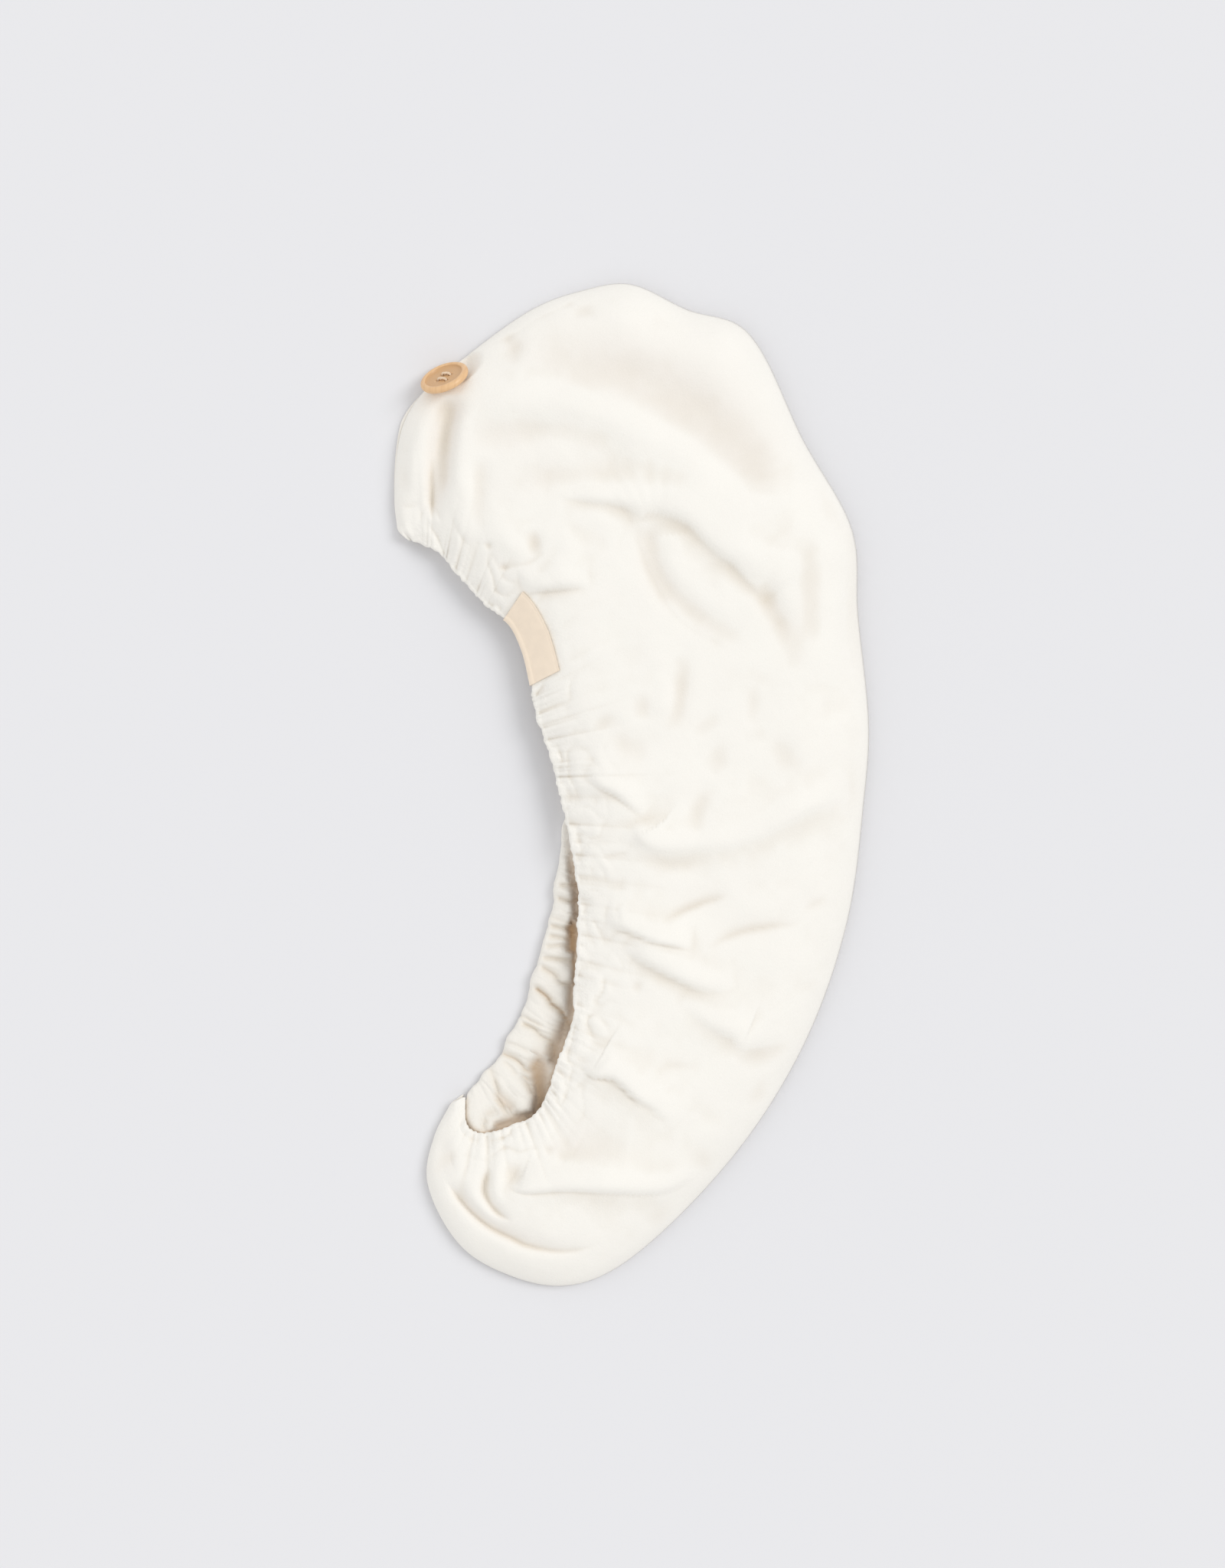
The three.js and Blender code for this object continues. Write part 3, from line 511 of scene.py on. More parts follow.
def upper_height(spokes, distance):
    """Top of the upper cloth: a dome, round at the seam and drawn down to the lip, and its folds alone."""
    x, y = spokes.point(distance)
    seam_path = SEAM.at(even_shares(SEAM_SAMPLES))
    length = spokes.length
    to_seam = np.minimum(nearest(seam_path, x, y)[0], np.maximum(length - distance, 0))
    loft = section_value("loft", spokes.t)
    lip = section_value("lip", spokes.t)
    rounding = np.minimum(EDGE_ROUND, EDGE_SHARE * length)
    inside = np.clip(to_seam / rounding, 0, 1)
    dome = SEAM_Z + (loft - SEAM_Z) * (1 - (1 - inside) ** 2) ** EDGE_POWER
    reach = np.minimum(LIP_REACH, LIP_SHARE * length)
    drawn = (1 - np.clip(distance / reach, 0, 1)) ** 2
    seam_fade = smoothstep(to_seam, 0, SEAM_FADE)
    hem_fade = smoothstep(distance - spokes.hem_width, *HEM_FADE)
    folds = relief(x, y) * seam_fade * hem_fade
    height = lerp(dome, lip, drawn) + folds
    lowest = np.minimum(dome, SEAM_Z + CLOTH + CAVITY * seam_fade)
    return np.minimum(np.maximum(height, lowest), seat_height(x, y)), folds


# Meshes

def make_mesh(name, points, faces):
    mesh = bpy.data.meshes.new(name)
    mesh.from_pydata((np.asarray(points) * MM).tolist(), [], faces)
    mesh.polygons.foreach_set("use_smooth", [True] * len(mesh.polygons))
    mesh.update()
    obj = bpy.data.objects.new(name, mesh)
    bpy.context.scene.collection.objects.link(obj)
    return obj


def signed_volume(points, faces):
    quads = np.array([face for face in faces if len(face) == 4])
    a, b, c, d = (points[quads[:, k]] for k in range(4))
    return (np.einsum("ij,ij->i", a, np.cross(b, c)) + np.einsum("ij,ij->i", a, np.cross(c, d))).sum()


CAP_TURNS = np.radians([25, 48, 68, 82])
CAP_SETTLE = 3
CAP_POWER = 0.6


def end_cap(rings, reach):
    """Rings beyond the last one, which shrink and move outward, so that the strip's end is round."""
    middle = rings[-1].mean(axis=0)
    outward = middle - rings[-1 - CAP_SETTLE].mean(axis=0)
    outward[2] = 0
    outward /= np.linalg.norm(outward)
    return [middle + (rings[-1] - middle) * math.cos(turn) ** CAP_POWER + outward * reach * math.sin(turn)
            for turn in CAP_TURNS]


def closed_strip(name, rings, cap=0):
    """A closed skin through rings of points, with a face over each end."""
    if cap:
        rings = np.concatenate([end_cap(rings[::-1], cap)[::-1], rings, end_cap(rings, cap)])
    stations, around = rings.shape[:2]
    points = rings.reshape(-1, 3)
    i, k = np.meshgrid(np.arange(stations - 1), np.arange(around), indexing="ij")
    after = (k + 1) % around
    quads = np.stack([i * around + k, i * around + after, (i + 1) * around + after, (i + 1) * around + k], -1)
    faces = quads.reshape(-1, 4).tolist()
    first = list(range(around))
    last = [(stations - 1) * around + k for k in range(around)]
    faces.append(first[::-1])
    faces.append(last)
    if signed_volume(points, faces) < 0:
        faces = [face[::-1] for face in faces]
    return make_mesh(name, points, faces)


def set_attributes(obj, **grids):
    """Values for the shaders at each point of a mesh; the caps of a strip take those of its ends."""
    for name, values in grids.items():
        values = np.asarray(values, float)
        if values.size < len(obj.data.vertices):
            values = np.pad(values, ((len(CAP_TURNS), len(CAP_TURNS)), (0, 0)), mode="edge")
        obj.data.attributes.new(name, "FLOAT", "POINT").data.foreach_set("value", values.ravel())
    return obj


# Smooth noise from a lattice of random numbers

def lattice_noise(seed, *coordinates):
    """Smooth noise between -1 and 1 over one to three coordinates, one lattice cell to a unit."""
    draw = np.random.default_rng(seed)
    shuffle = draw.permutation(256)
    values = draw.uniform(-1, 1, 256)
    cells = [np.floor(c).astype(int) for c in coordinates]
    parts = [c - cell for c, cell in zip(coordinates, cells)]
    weights = [part * part * (3 - 2 * part) for part in parts]
    total = 0
    for corner in range(2 ** len(coordinates)):
        index = 0
        weight = 1
        for axis, (cell, w) in enumerate(zip(cells, weights)):
            bit = corner >> axis & 1
            index = shuffle[(index + cell + bit) & 255]
            weight = weight * (w if bit else 1 - w)
        total = total + values[index] * weight
    return total


def noise_of(kind, x, y):
    """Lattice noise of a kind with its own seed, cell and height."""
    return kind.height * lattice_noise(SEED + kind.seed, x / kind.cell, y / kind.cell)


def beside(*grids):
    return np.concatenate(grids, axis=1)


# Upper cloth: panel and gathered hem in one skin. Each ring runs from the seam over the top to the free edge,
# round it, and back on the inside.

PLEAT = Values(width=4.2, height=1.15, reach=13)
WIDE_PLEAT = Values(width=12, height=1.3, reach=24)
LEAST = Values(reach=0.5, height=0.4, rib=0.3)
PLEAT_FADE = 1.5
LUMP = Values(seed=20, along=12, across=11, shift=0.4, height=2.6, reach=22)
LUMP_BEND = Values(seeds=(22, 23), height=7)
EDGE_BUMP = Values(seed=21, along=3.4, across=4.5, height=0.55, reach=6)
EDGE_SCALLOP = 0.55
SCALLOP_MOST = 1.2
TERRY = Values(seed=5, cell=1.9, height=0.16, reach=12)
PLUSH_WAVE = Values(seed=6, cell=15, height=0.5)
PLUSH_CRUSH = Values(seed=8, cell=5.5, height=0.14)
WAVE_FADE = (10, 40)
SEAM_EASE = 14
EDGE_FUZZ = Values(seed=7, height=0.3, turn=2.2)
GATHER_ENDS = 22
LUMP_MIDDLE = 0.3
HEM_FULL = 4
INSET_SHARE = 0.4
# Share of the painted deep shade on the inner side of the upper cloth
INSIDE_SHADE = 0.5
LABEL_COVER = (16, 23)
# Depth of a fold's hollow that gets the full painted shade
HOLLOW_SHADE_DEPTH = 5.5
# Cavity depth that gets the full painted crease shade, and the blur across and along the cloth that finds the
# cavities
CREASE_SHADE_DEPTH = 2.2
CREASE_SHADE_BLUR = (3, 5)
END_ROUND = 2.5
EDGE_IN = 0.12
EDGE_OUT = 2.2


def gathers(spokes, distance, seed):
    """Height of the pleats, lumps and small bumps beside a hem."""
    along = spokes.along + 0 * distance
    past = np.maximum(distance, 0)
    rise = np.zeros(distance.shape)
    for step, kind in enumerate((PLEAT, WIDE_PLEAT)):
        bump, size = puckers(along.max(), kind.width, seed + step)(along)
        fade = np.exp(-(past / (kind.reach * (LEAST.reach + size))) ** PLEAT_FADE)
        rise += kind.height * (LEAST.height + size) * (bump - PLEAT_MIDDLE) * fade
    lattice = (along / LUMP.across, past / LUMP.along)
    bend, sway = (LUMP_BEND.height * lattice_noise(seed + more, *lattice) for more in LUMP_BEND.seeds)
    lattice = ((along + bend) / LUMP.along, (past + sway) / LUMP.across + LUMP.shift)
    crumpled = np.abs(lattice_noise(seed + LUMP.seed, *lattice))
    rise += LUMP.height * (crumpled - LUMP_MIDDLE) * bell(past, LUMP.reach)
    bumps = lattice_noise(seed + EDGE_BUMP.seed, along / EDGE_BUMP.along, distance / EDGE_BUMP.across)
    rise += EDGE_BUMP.height * bumps * bell(past, EDGE_BUMP.reach)
    return rise * smoothstep(np.minimum(along, along.max() - along), 0, GATHER_ENDS)


def windows(grid, reach, axis):
    """The neighbours of each value up to reach places away along an axis, where the grid's ends repeat."""
    pads = [(0, 0), (0, 0)]
    pads[axis] = (reach, reach)
    return sliding_window_view(np.pad(grid, pads, mode="edge"), 2 * reach + 1, axis)


def upper_cloth():
    t = even_stations([SEAM, UPPER_EDGE], UPPER_STATIONS)
    spokes = Spokes(UPPER_EDGE, t, UPPER_HEM)
    length = spokes.length
    hem_width = spokes.hem_width
    full = smoothstep(hem_width, HEM_FULL, UPPER_HEM.width)
    thickness = lerp(UPPER_HEM.end_thickness, UPPER_HEM.thickness, full)
    on_label = label_share(spokes.along)

    # top side, from the seam to just before the free edge
    rows = even_shares(UPPER_ROWS)[None, :]
    edge_in = EDGE_IN * hem_width
    distance = length - (length - edge_in) * rows ** ROW_POWER
    top, folds = upper_height(spokes, distance)
    x, y = spokes.point(distance)
    bare = 1 - on_label * (1 - smoothstep(distance, *LABEL_COVER))
    rise = gathers(spokes, distance, SEED) * bare
    terry = noise_of(TERRY, x, y) * bell(distance, TERRY.reach) * bare
    wave = noise_of(PLUSH_WAVE, x, y) + noise_of(PLUSH_CRUSH, x, y)
    inward = smoothstep(length - distance, 0, SEAM_EASE)
    z = top + (rise + wave * smoothstep(distance, *WAVE_FADE) + terry) * inward
    z[:, 0] = SEAM_Z
    z = np.maximum(z, SEAM_Z)

    # round the free edge, from the top to the underside
    edge_distance = distance[:, -1:]
    edge_top = z[:, -1:]
    turn = np.linspace(0, math.pi, WRAP_ROWS + 2)[None, 1:-1]
    radius = thickness / 2
    scallop = EDGE_SCALLOP * gathers(spokes, edge_distance * 0, SEED + 3) * (1 - on_label)
    lattice = (spokes.along / TERRY.cell + 0 * turn, turn * EDGE_FUZZ.turn + 0 * edge_top)
    fuzz = EDGE_FUZZ.height * lattice_noise(SEED + EDGE_FUZZ.seed, *lattice) * full * (1 - on_label)
    bulge = np.minimum(radius, edge_in * EDGE_OUT) + np.clip(scallop, -SCALLOP_MOST, SCALLOP_MOST) + fuzz
    wrap_distance = edge_distance - np.sin(turn) * bulge
    wrap_z = edge_top - radius * (1 - np.cos(turn))

    # inside: under the hem, then the inner side of the panel
    under = even_shares(INNER_ROWS)[None, :]
    inset = np.minimum(CLOTH, INSET_SHARE * length)
    under_distance = edge_distance + (length - inset - edge_distance) * under ** UNDER_POWER
    lowest = windows(z, UNDER_REACH, 1).min(-1)
    place = ((length - under_distance) / (length - edge_in)) ** (1 / ROW_POWER) * UPPER_ROWS
    row = np.clip(place, 0, UPPER_ROWS - 1).astype(int)
    before, after = (np.take_along_axis(lowest, index, axis=1) for index in (row, row + 1))
    under_top = lerp(before, after, np.clip(place - row, 0, 1))
    under_z = np.maximum(under_top - np.where(under_distance < hem_width, thickness, CLOTH), SEAM_Z)
    under_z[:, -1] = SEAM_Z

    all_distance = beside(distance, wrap_distance, under_distance)
    all_x, all_y = spokes.point(all_distance)
    points = np.stack([all_x, all_y, beside(z, wrap_z, under_z)], -1)
    rest = 0 * beside(wrap_distance, under_distance)
    detail = folds + (rise + wave) * inward
    # How far the surface lies below its blurred neighbourhood: this sets the painted crease shade
    cavity = detail
    for axis, reach in enumerate(CREASE_SHADE_BLUR):
        cavity = windows(windows(cavity, reach, axis).mean(-1), reach, axis).mean(-1)
    hem = np.exp(-(np.maximum(all_distance, 0) / UPPER_HEM.width) ** 4)
    return set_attributes(
        closed_strip("upper_cloth", points, END_ROUND),
        hem=hem * beside(bare, rest + 1),
        # painted shade in the hollows of the folds
        hollow=beside(np.clip(-folds / HOLLOW_SHADE_DEPTH, 0, 1), rest),
        # painted shade in the creases
        crease=beside(np.clip((cavity - detail) / CREASE_SHADE_DEPTH, 0, 1), rest),
        # painted shade on the inner side of the cloth
        deep=beside(0 * distance, 0 * wrap_distance, INSIDE_SHADE + 0 * under_distance))


# Label: a thin strip that follows the hem

LABEL = Values(start=76, length=44, width=18, thickness=0.8, lift=0.5, fade=5)
LABEL_STATIONS = 90
LABEL_ROWS = 40
LABEL_TURNS = np.radians(np.linspace(0, 105, 11))[None, 1:]
LABEL_CRUMPLE = Values(seed=9, cell=7, height=0.12)
SELVEDGE = Values(inset=1.5, width=0.4, depth=0.22)


def label_share(along):
    """1 where the label covers the hem, 0 away from it."""
    past = np.maximum(LABEL.start - along, along - LABEL.start - LABEL.length)
    return 1 - smoothstep(past, 0, LABEL.fade)


def label_strip():
    along = LABEL.start + LABEL.length * np.linspace(0, 1, LABEL_STATIONS)
    spokes = Spokes(UPPER_EDGE, UPPER_EDGE.t_at(along), UPPER_HEM)
    radius = UPPER_HEM.thickness / 2
    edge_in = EDGE_IN * spokes.hem_width
    distance = LABEL.width + (edge_in - LABEL.width) * np.linspace(0, 1, LABEL_ROWS)[None, :]
    top = upper_height(spokes, distance)[0]
    x, y = spokes.point(distance)
    groove = bell(distance - LABEL.width + SELVEDGE.inset, SELVEDGE.width)
    top += noise_of(LABEL_CRUMPLE, x, y) - SELVEDGE.depth * groove
    out = np.minimum(radius, edge_in * EDGE_OUT)
    drop = radius * (1 - np.cos(LABEL_TURNS)) + 0 * edge_in
    base = beside(distance, edge_in - out * np.sin(LABEL_TURNS))
    height = beside(top, top[:, -1:] - drop)
    outward = beside(np.zeros((1, LABEL_ROWS)), np.sin(LABEL_TURNS))
    upward = beside(np.ones((1, LABEL_ROWS)), np.cos(LABEL_TURNS))
    sides = []
    for offset in (LABEL.lift + LABEL.thickness, LABEL.lift):
        x, y = spokes.point(base - offset * outward)
        sides.append(np.stack([x, y, height + offset * upward], -1))
    return closed_strip("label_cloth", beside(sides[0][:, ::-1], sides[1]))


# Lower cloth: the panel that lies on the surface, and its ruffled hem

LOWER_STATIONS = 420
LOWER_ROWS = 90
HEM_STATIONS = 900
HEM_AROUND = 56

ROLL = Values(rise=6.6, scallop=0.3, scallop_in=3, inner_scallop=1, valley=1.25)
HIDDEN_ROLL = Values(rise=1.2, width=9)
INNER_ROLL = Values(rise=7.5, start=-1, full=3, fade=18, end=36)
ROLL_LUMP = Values(seed=12, cell=9, height=1.6)
ROLL_CRUSH = Values(seed=13, cell=2.6, height=0.35)
ROLL_RIB = Values(seed=17, width=5.5, height=0.9)
RIB_SWAY = Values(seed=16, cell=14, height=4)
ROLL_FUZZ_SEED = 15
HOLLOW_REACH = 0.4
# Painted shade in from the upper hem's edge: where it starts and where it is full, over the lower cloth and
# over the lower hem
EDGE_SHADE = (-5, 2)
HEM_EDGE_SHADE = (-4, 2)
ROOM = Values(gap=0.6, least=3.2, slope=2.2, thin=(4, 40))
# Valley depth that gets the full painted crease shade
VALLEY_SHADE_DEPTH = 4.5
# Valley depths over which the painted deep shade comes in, and its share
VALLEY_SHADE_SPAN = (3, 6.5)
VALLEY_SHADE_SHARE = 0.8
VALLEY_LINE = 0.9
VALLEY_SHARPNESS = 0.38
MOUTH_RANGE = (30, 52)
ROLL_DOWN = (80, 100, 125, 142, 160, 176, 188)
ROLL_WIDTH = (20, 28, 39, 43, 45, 44, 32)
HEM_TINT = 0.6

# The lower cloth's rim: its lift, its rounding, and where the roll and the painted deep shade end before it
RIM_LIFT = Values(height=1.1, reach=7)
RIM_ROUND = Values(height=0.9, reach=2.2)
ROLL_TO_RIM = (12, 30)
SHADE_TO_RIM = (8, 20)
LOWER_START = 0.8
OFF_FLOOR = 0.05

# The rounded section of the lower hem
HEM_OFF_FLOOR = 0.2
HEM_LOWEST = 0.15
HEM_ENDS = 16
HEM_BULGE = 0.5
ACROSS_POWER = 0.75
LIFT_POWER = 0.6
HIDDEN_POWER = 0.7
OUTER_LIFT = 0.75
FUZZ_DOWN = 0.4


def roll_reach(spokes):
    """Width of the lower hem, wider where its rolls spread into the mouth."""
    factor = np.interp(-spokes.start[:, 1:], ROLL_DOWN, ROLL_WIDTH) / LOWER_HEM.width
    return spokes.hem_width * factor


def valleys(x, y):
    """Depth, as a negative height, of the valleys between the rolls in the mouth."""
    depth = np.zeros(x.shape)
    for row in MOUTH_CREASES:
        near, (distance, side, share) = around(row, x, y, 3 * row.width)
        wide, narrow = (np.exp(-rounded(distance) / width) for width in (row.width, VALLEY_LINE))
        profile = lerp(wide, narrow, VALLEY_SHARPNESS)
        depth[near] = np.minimum(depth[near], -row.depth * profile)
    return depth


def hollows(x, y):
    """Depth of the hollows beside the rolls, and their share of the deepest colour, the painted deep shade.
    """
    depth = np.zeros(x.shape)
    tone = np.zeros(x.shape)
    for row in MOUTH_HOLLOWS:
        near, (distance, side, share) = around(row, x, y, 3 * row.width)
        away = np.where(side > 0, HOLLOW_REACH * distance, distance)
        profile = bell(away, row.width)
        depth[near] = np.maximum(depth[near], row.depth * profile)
        tone[near] = np.maximum(tone[near], row.tone * profile)
    return depth, tone


def crumple(x, y):
    """Soft lumps and small dents of the cloth in the mouth."""
    return noise_of(ROLL_LUMP, x, y) + noise_of(ROLL_CRUSH, x, y)


def ribs(spokes, x, y):
    """Narrow pleats across the rolls."""
    pleats = puckers(LOWER_EDGE.length, ROLL_RIB.width, SEED + ROLL_RIB.seed)
    bump, size = pleats(spokes.along + noise_of(RIB_SWAY, x, y))
    return ROLL_RIB.height * (LEAST.rib + size) * (bump - PLEAT_MIDDLE)


def under_upper(x, y):
    """Distance in from the upper hem's edge, negative in the open mouth, and the room under that hem."""
    t = even_shares(SEAM_SAMPLES)
    along = UPPER_EDGE.distance_at(t)
    full = smoothstep(along.max() - along, *ROOM.thin)
    thickness = lerp(UPPER_HEM.end_thickness, UPPER_HEM.thickness, full)
    path = np.column_stack([UPPER_EDGE.at(t), section_value("lip", t) - thickness])
    _, inside, underside = nearest(path, x, y)
    room = np.maximum(underside - ROOM.gap, ROOM.least)
    return inside, room + ROOM.slope * np.maximum(-inside, 0)


def near_rim(to_rim, kind):
    """The rim's lift or rounding, which fades over its reach."""
    return kind.height * (1 - np.clip(to_rim / kind.reach, 0, 1)) ** 2


def lower_cloth():
    t = even_stations([SEAM, LOWER_EDGE], LOWER_STATIONS)
    spokes = Spokes(LOWER_EDGE, t, LOWER_HEM, extra=section_value("peek", t[:, None]))
    length = spokes.length
    reach = roll_reach(spokes)
    start = LOWER_START * reach
    rows = even_shares(LOWER_ROWS)[None, :]
    distance = start + (length - start) * rows ** UNDER_POWER
    x, y = spokes.point(distance)
    to_rim = length - distance
    raised = smoothstep(distance - reach, INNER_ROLL.start, INNER_ROLL.full)
    raised *= 1 - smoothstep(distance - reach, INNER_ROLL.fade, INNER_ROLL.end)
    raised *= smoothstep(to_rim, *ROLL_TO_RIM) * smoothstep(-y, *MOUTH_RANGE)
    inside, room = under_upper(x, y)
    hollow, tone = hollows(x, y)
    valley = valleys(x, y)
    top = CLOTH + np.maximum(INNER_ROLL.rise + valley + crumple(x, y) - hollow, 0) * raised
    upper = np.stack([x, y, np.minimum(top, room) - near_rim(to_rim, RIM_ROUND)], -1)
    lower = np.stack([x, y, near_rim(to_rim, RIM_LIFT) + OFF_FLOOR], -1)
    below = 0 * distance
    # Painted shade near and under the upper hem's edge and in the hollows beside the rolls, fading before the
    # rim
    deep = np.maximum(smoothstep(inside, *EDGE_SHADE), tone) * smoothstep(to_rim, *SHADE_TO_RIM)
    return set_attributes(
        closed_strip("lower_cloth", beside(upper, lower[:, ::-1]), END_ROUND),
        # painted shade in the mouth
        deep=beside(deep, below),
        # painted shade in the valleys between the rolls
        crease=beside(np.clip(-valley / VALLEY_SHADE_DEPTH, 0, 1), below))


def lower_hem():
    along = np.linspace(0, LOWER_EDGE.length, HEM_STATIONS)
    spokes = Spokes(LOWER_EDGE, LOWER_EDGE.t_at(along), LOWER_HEM)
    edge = (spokes.start[:, :1], spokes.start[:, 1:])
    shows = smoothstep(-edge[1], *MOUTH_RANGE)
    along = along[:, None]
    bump = np.abs(np.sin(math.pi * along / HIDDEN_ROLL.width)) ** HIDDEN_POWER
    ends = smoothstep(np.minimum(along, LOWER_EDGE.length - along), 0, HEM_ENDS)
    thickness = lerp(LOWER_HEM.end_thickness, LOWER_HEM.thickness, ends)
    angle = np.linspace(0, 2 * math.pi, HEM_AROUND, endpoint=False)[None, :]
    across = 0.5 - 0.5 * np.sign(np.cos(angle)) * np.abs(np.cos(angle)) ** ACROSS_POWER
    lift = np.sign(np.sin(angle)) * np.abs(np.sin(angle)) ** LIFT_POWER
    lumps = crumple(*edge)
    outward = (HEM_BULGE + lumps + ROLL.scallop * valleys(*edge)) * ends
    reach = roll_reach(spokes)
    inner_valley = valleys(*spokes.point(reach - ROLL.scallop_in))
    width = reach + (lumps + ROLL.inner_scallop * inner_valley) * ends * shows
    x, y = spokes.point(across * width - outward * (1 - across))
    inside, room = under_upper(x, y)
    hollow, tone = hollows(x, y)
    valley = valleys(x, y)
    soft = crumple(x, y) + ribs(spokes, x, y) - hollow
    shown_rise = np.maximum(ROLL.rise + ROLL.valley * valley + soft, 0)
    rise = lerp(HIDDEN_ROLL.rise * bump, shown_rise, shows) * ends
    z = HEM_OFF_FLOOR + thickness / 2 * (1 + lift) + rise * np.clip(lift, 0, 1) * lerp(OUTER_LIFT, 1, across)
    fuzz = TERRY.height * lattice_noise(SEED + ROLL_FUZZ_SEED, *(c / TERRY.cell for c in (x, y, z)))
    z = np.clip(z + fuzz * np.clip(lift + FUZZ_DOWN, 0, 1) * ends, HEM_LOWEST, room)
    depth = -valley * shows
    # Painted shade in deep valleys, near and under the upper hem's edge, and in the hollows beside the rolls
    valley_deep = VALLEY_SHADE_SHARE * smoothstep(depth, *VALLEY_SHADE_SPAN)
    deep = np.maximum.reduce([smoothstep(inside, *HEM_EDGE_SHADE), valley_deep, tone])
    return set_attributes(
        closed_strip("lower_hem_cloth", np.stack([x, y, z], -1), END_ROUND),
        hem=HEM_TINT + 0 * z,
        deep=deep * ends * shows,
        # painted shade in the valleys between the rolls
        crease=np.clip(depth / VALLEY_SHADE_DEPTH, 0, 1))


# Button and thread

# Outline of the button's half section: radius and height, as shares of its radius and thickness
BUTTON_PROFILE = [
    (0.0, -0.5), (0.7, -0.5), (0.86, -0.46), (0.95, -0.34), (0.99, -0.12), (1.0, 0.05), (0.985, 0.24),
    (0.955, 0.38), (0.91, 0.47), (0.86, 0.5), (0.815, 0.485), (0.785, 0.43), (0.768, 0.34), (0.755, 0.24),
    (0.735, 0.165), (0.69, 0.135), (0.6, 0.125), (0.45, 0.12), (0.25, 0.115), (0.0, 0.11),
]
BUTTON_SIDES = 96
HOLE = Values(radius=1.4, spread=2.7, sides=28)
FACE = 0.12
# Share of the radius inside which the face gets painted shade for its recess
RECESS_SHADE_SHARE = 0.78
CORNERS = ((-1, -1), (1, -1), (1, 1), (-1, 1))


def button_matrix():
    tilt, heading, turn = map(math.radians, (BUTTON.tilt, BUTTON.heading, BUTTON.turn))
    turned = Matrix.Rotation(heading, 4, "Z") @ Matrix.Rotation(tilt, 4, "Y") @ Matrix.Rotation(turn, 4, "Z")
    return Matrix.Translation(Vector(BUTTON.at)) @ turned


def lathe(profile, sides):
    """Points and faces of a turned form, whose first and last radius are 0."""
    angles = [2 * math.pi * k / sides for k in range(sides)]
    rings = [[(r * math.cos(angle), r * math.sin(angle), h) for angle in angles] for r, h in profile[1:-1]]
    points = [(0, 0, profile[0][1])] + sum(rings, []) + [(0, 0, profile[-1][1])]
    last = len(points) - 1
    faces = []
    for ring in range(len(rings) + 1):
        a = 1 + (ring - 1) * sides
        b = a + sides
        for k in range(sides):
            after = (k + 1) % sides
            if ring == 0:
                faces.append([0, b + after, b + k])
            elif ring == len(rings):
                faces.append([a + k, a + after, last])
            else:
                faces.append([a + k, a + after, b + after, b + k])
    return points, faces


def placed(points):
    matrix = button_matrix()
    return np.array([matrix @ Vector(p) for p in points])


def wooden_button():
    radius, thickness = BUTTON.radius, BUTTON.thickness
    points, faces = lathe([(r * radius, h * thickness) for r, h in BUTTON_PROFILE], BUTTON_SIDES)
    obj = make_mesh("wooden_button", placed(points), faces)
    # Painted shade on the recessed face
    set_attributes(obj, recess=[h > 0 and math.hypot(x, y) < RECESS_SHADE_SHARE * radius for x, y, h in points])
    drill_profile = [(r * HOLE.radius, h * thickness) for r, h in ((0, -1), (1, -1), (1, 1), (0, 1))]
    tube, tube_faces = lathe(drill_profile, HOLE.sides)
    drills = []
    for x, y in CORNERS:
        moved = [(px + x * HOLE.spread, py + y * HOLE.spread, pz) for px, py, pz in tube]
        drills.append(make_mesh("drill", placed(moved), tube_faces))
    for drill in drills:
        cut = obj.modifiers.new("hole", "BOOLEAN")
        cut.operation = "DIFFERENCE"
        cut.solver = "EXACT"
        cut.object = drill
    bpy.context.view_layer.update()
    graph = bpy.context.evaluated_depsgraph_get()
    carved = bpy.data.meshes.new_from_object(obj.evaluated_get(graph))
    obj.modifiers.clear()
    obj.data = carved
    for drill in drills:
        bpy.data.objects.remove(drill)
    return obj


THREAD = Values(radius=0.46, strands=3, twist=2.4, steps=26, sides=8, share=0.95)
THREAD_BACK = -BUTTON.thickness / 2 - 0.3
THREAD_TOP = FACE * BUTTON.thickness + 0.75
STITCH_RISE = 0.25
SHANK_SIDES = 30

# Half a stitch over the button: the share of the holes' spread, and the height
HALF_STITCH = [(-1, THREAD_BACK), (-1, THREAD_TOP - 0.6), (-0.8, THREAD_TOP)]
SHANK_PROFILE = [(0, 0), (4.4, 0), (4.9, 0.25), (4.9, 0.6), (4.4, SHANK_LENGTH), (0, SHANK_LENGTH)]


def thread_path(y_sign):
    """Middle of one stitch: up through a hole, over the face and down through the next."""
    back_down = [(-share, height) for share, height in HALF_STITCH[::-1]]
    stitch = HALF_STITCH + [(0, THREAD_TOP + STITCH_RISE)] + back_down
    return [(y_sign * HOLE.spread, share * HOLE.spread, height) for share, height in stitch]


def tube(path, radius, sides):
    """Rings of a tube along a path, as an array of shape (points, sides, 3)."""
    ahead = np.gradient(path, axis=0)
    ahead /= np.linalg.norm(ahead, axis=1)[:, None]
    across = np.cross(ahead, (1.0, 0.0, 0.0))
    across /= np.linalg.norm(across, axis=1)[:, None]
    up = np.cross(across, ahead)
    angle = np.linspace(0, 2 * math.pi, sides, endpoint=False)[None, :, None]
    return path[:, None] + radius * (np.cos(angle) * across[:, None] + np.sin(angle) * up[:, None])


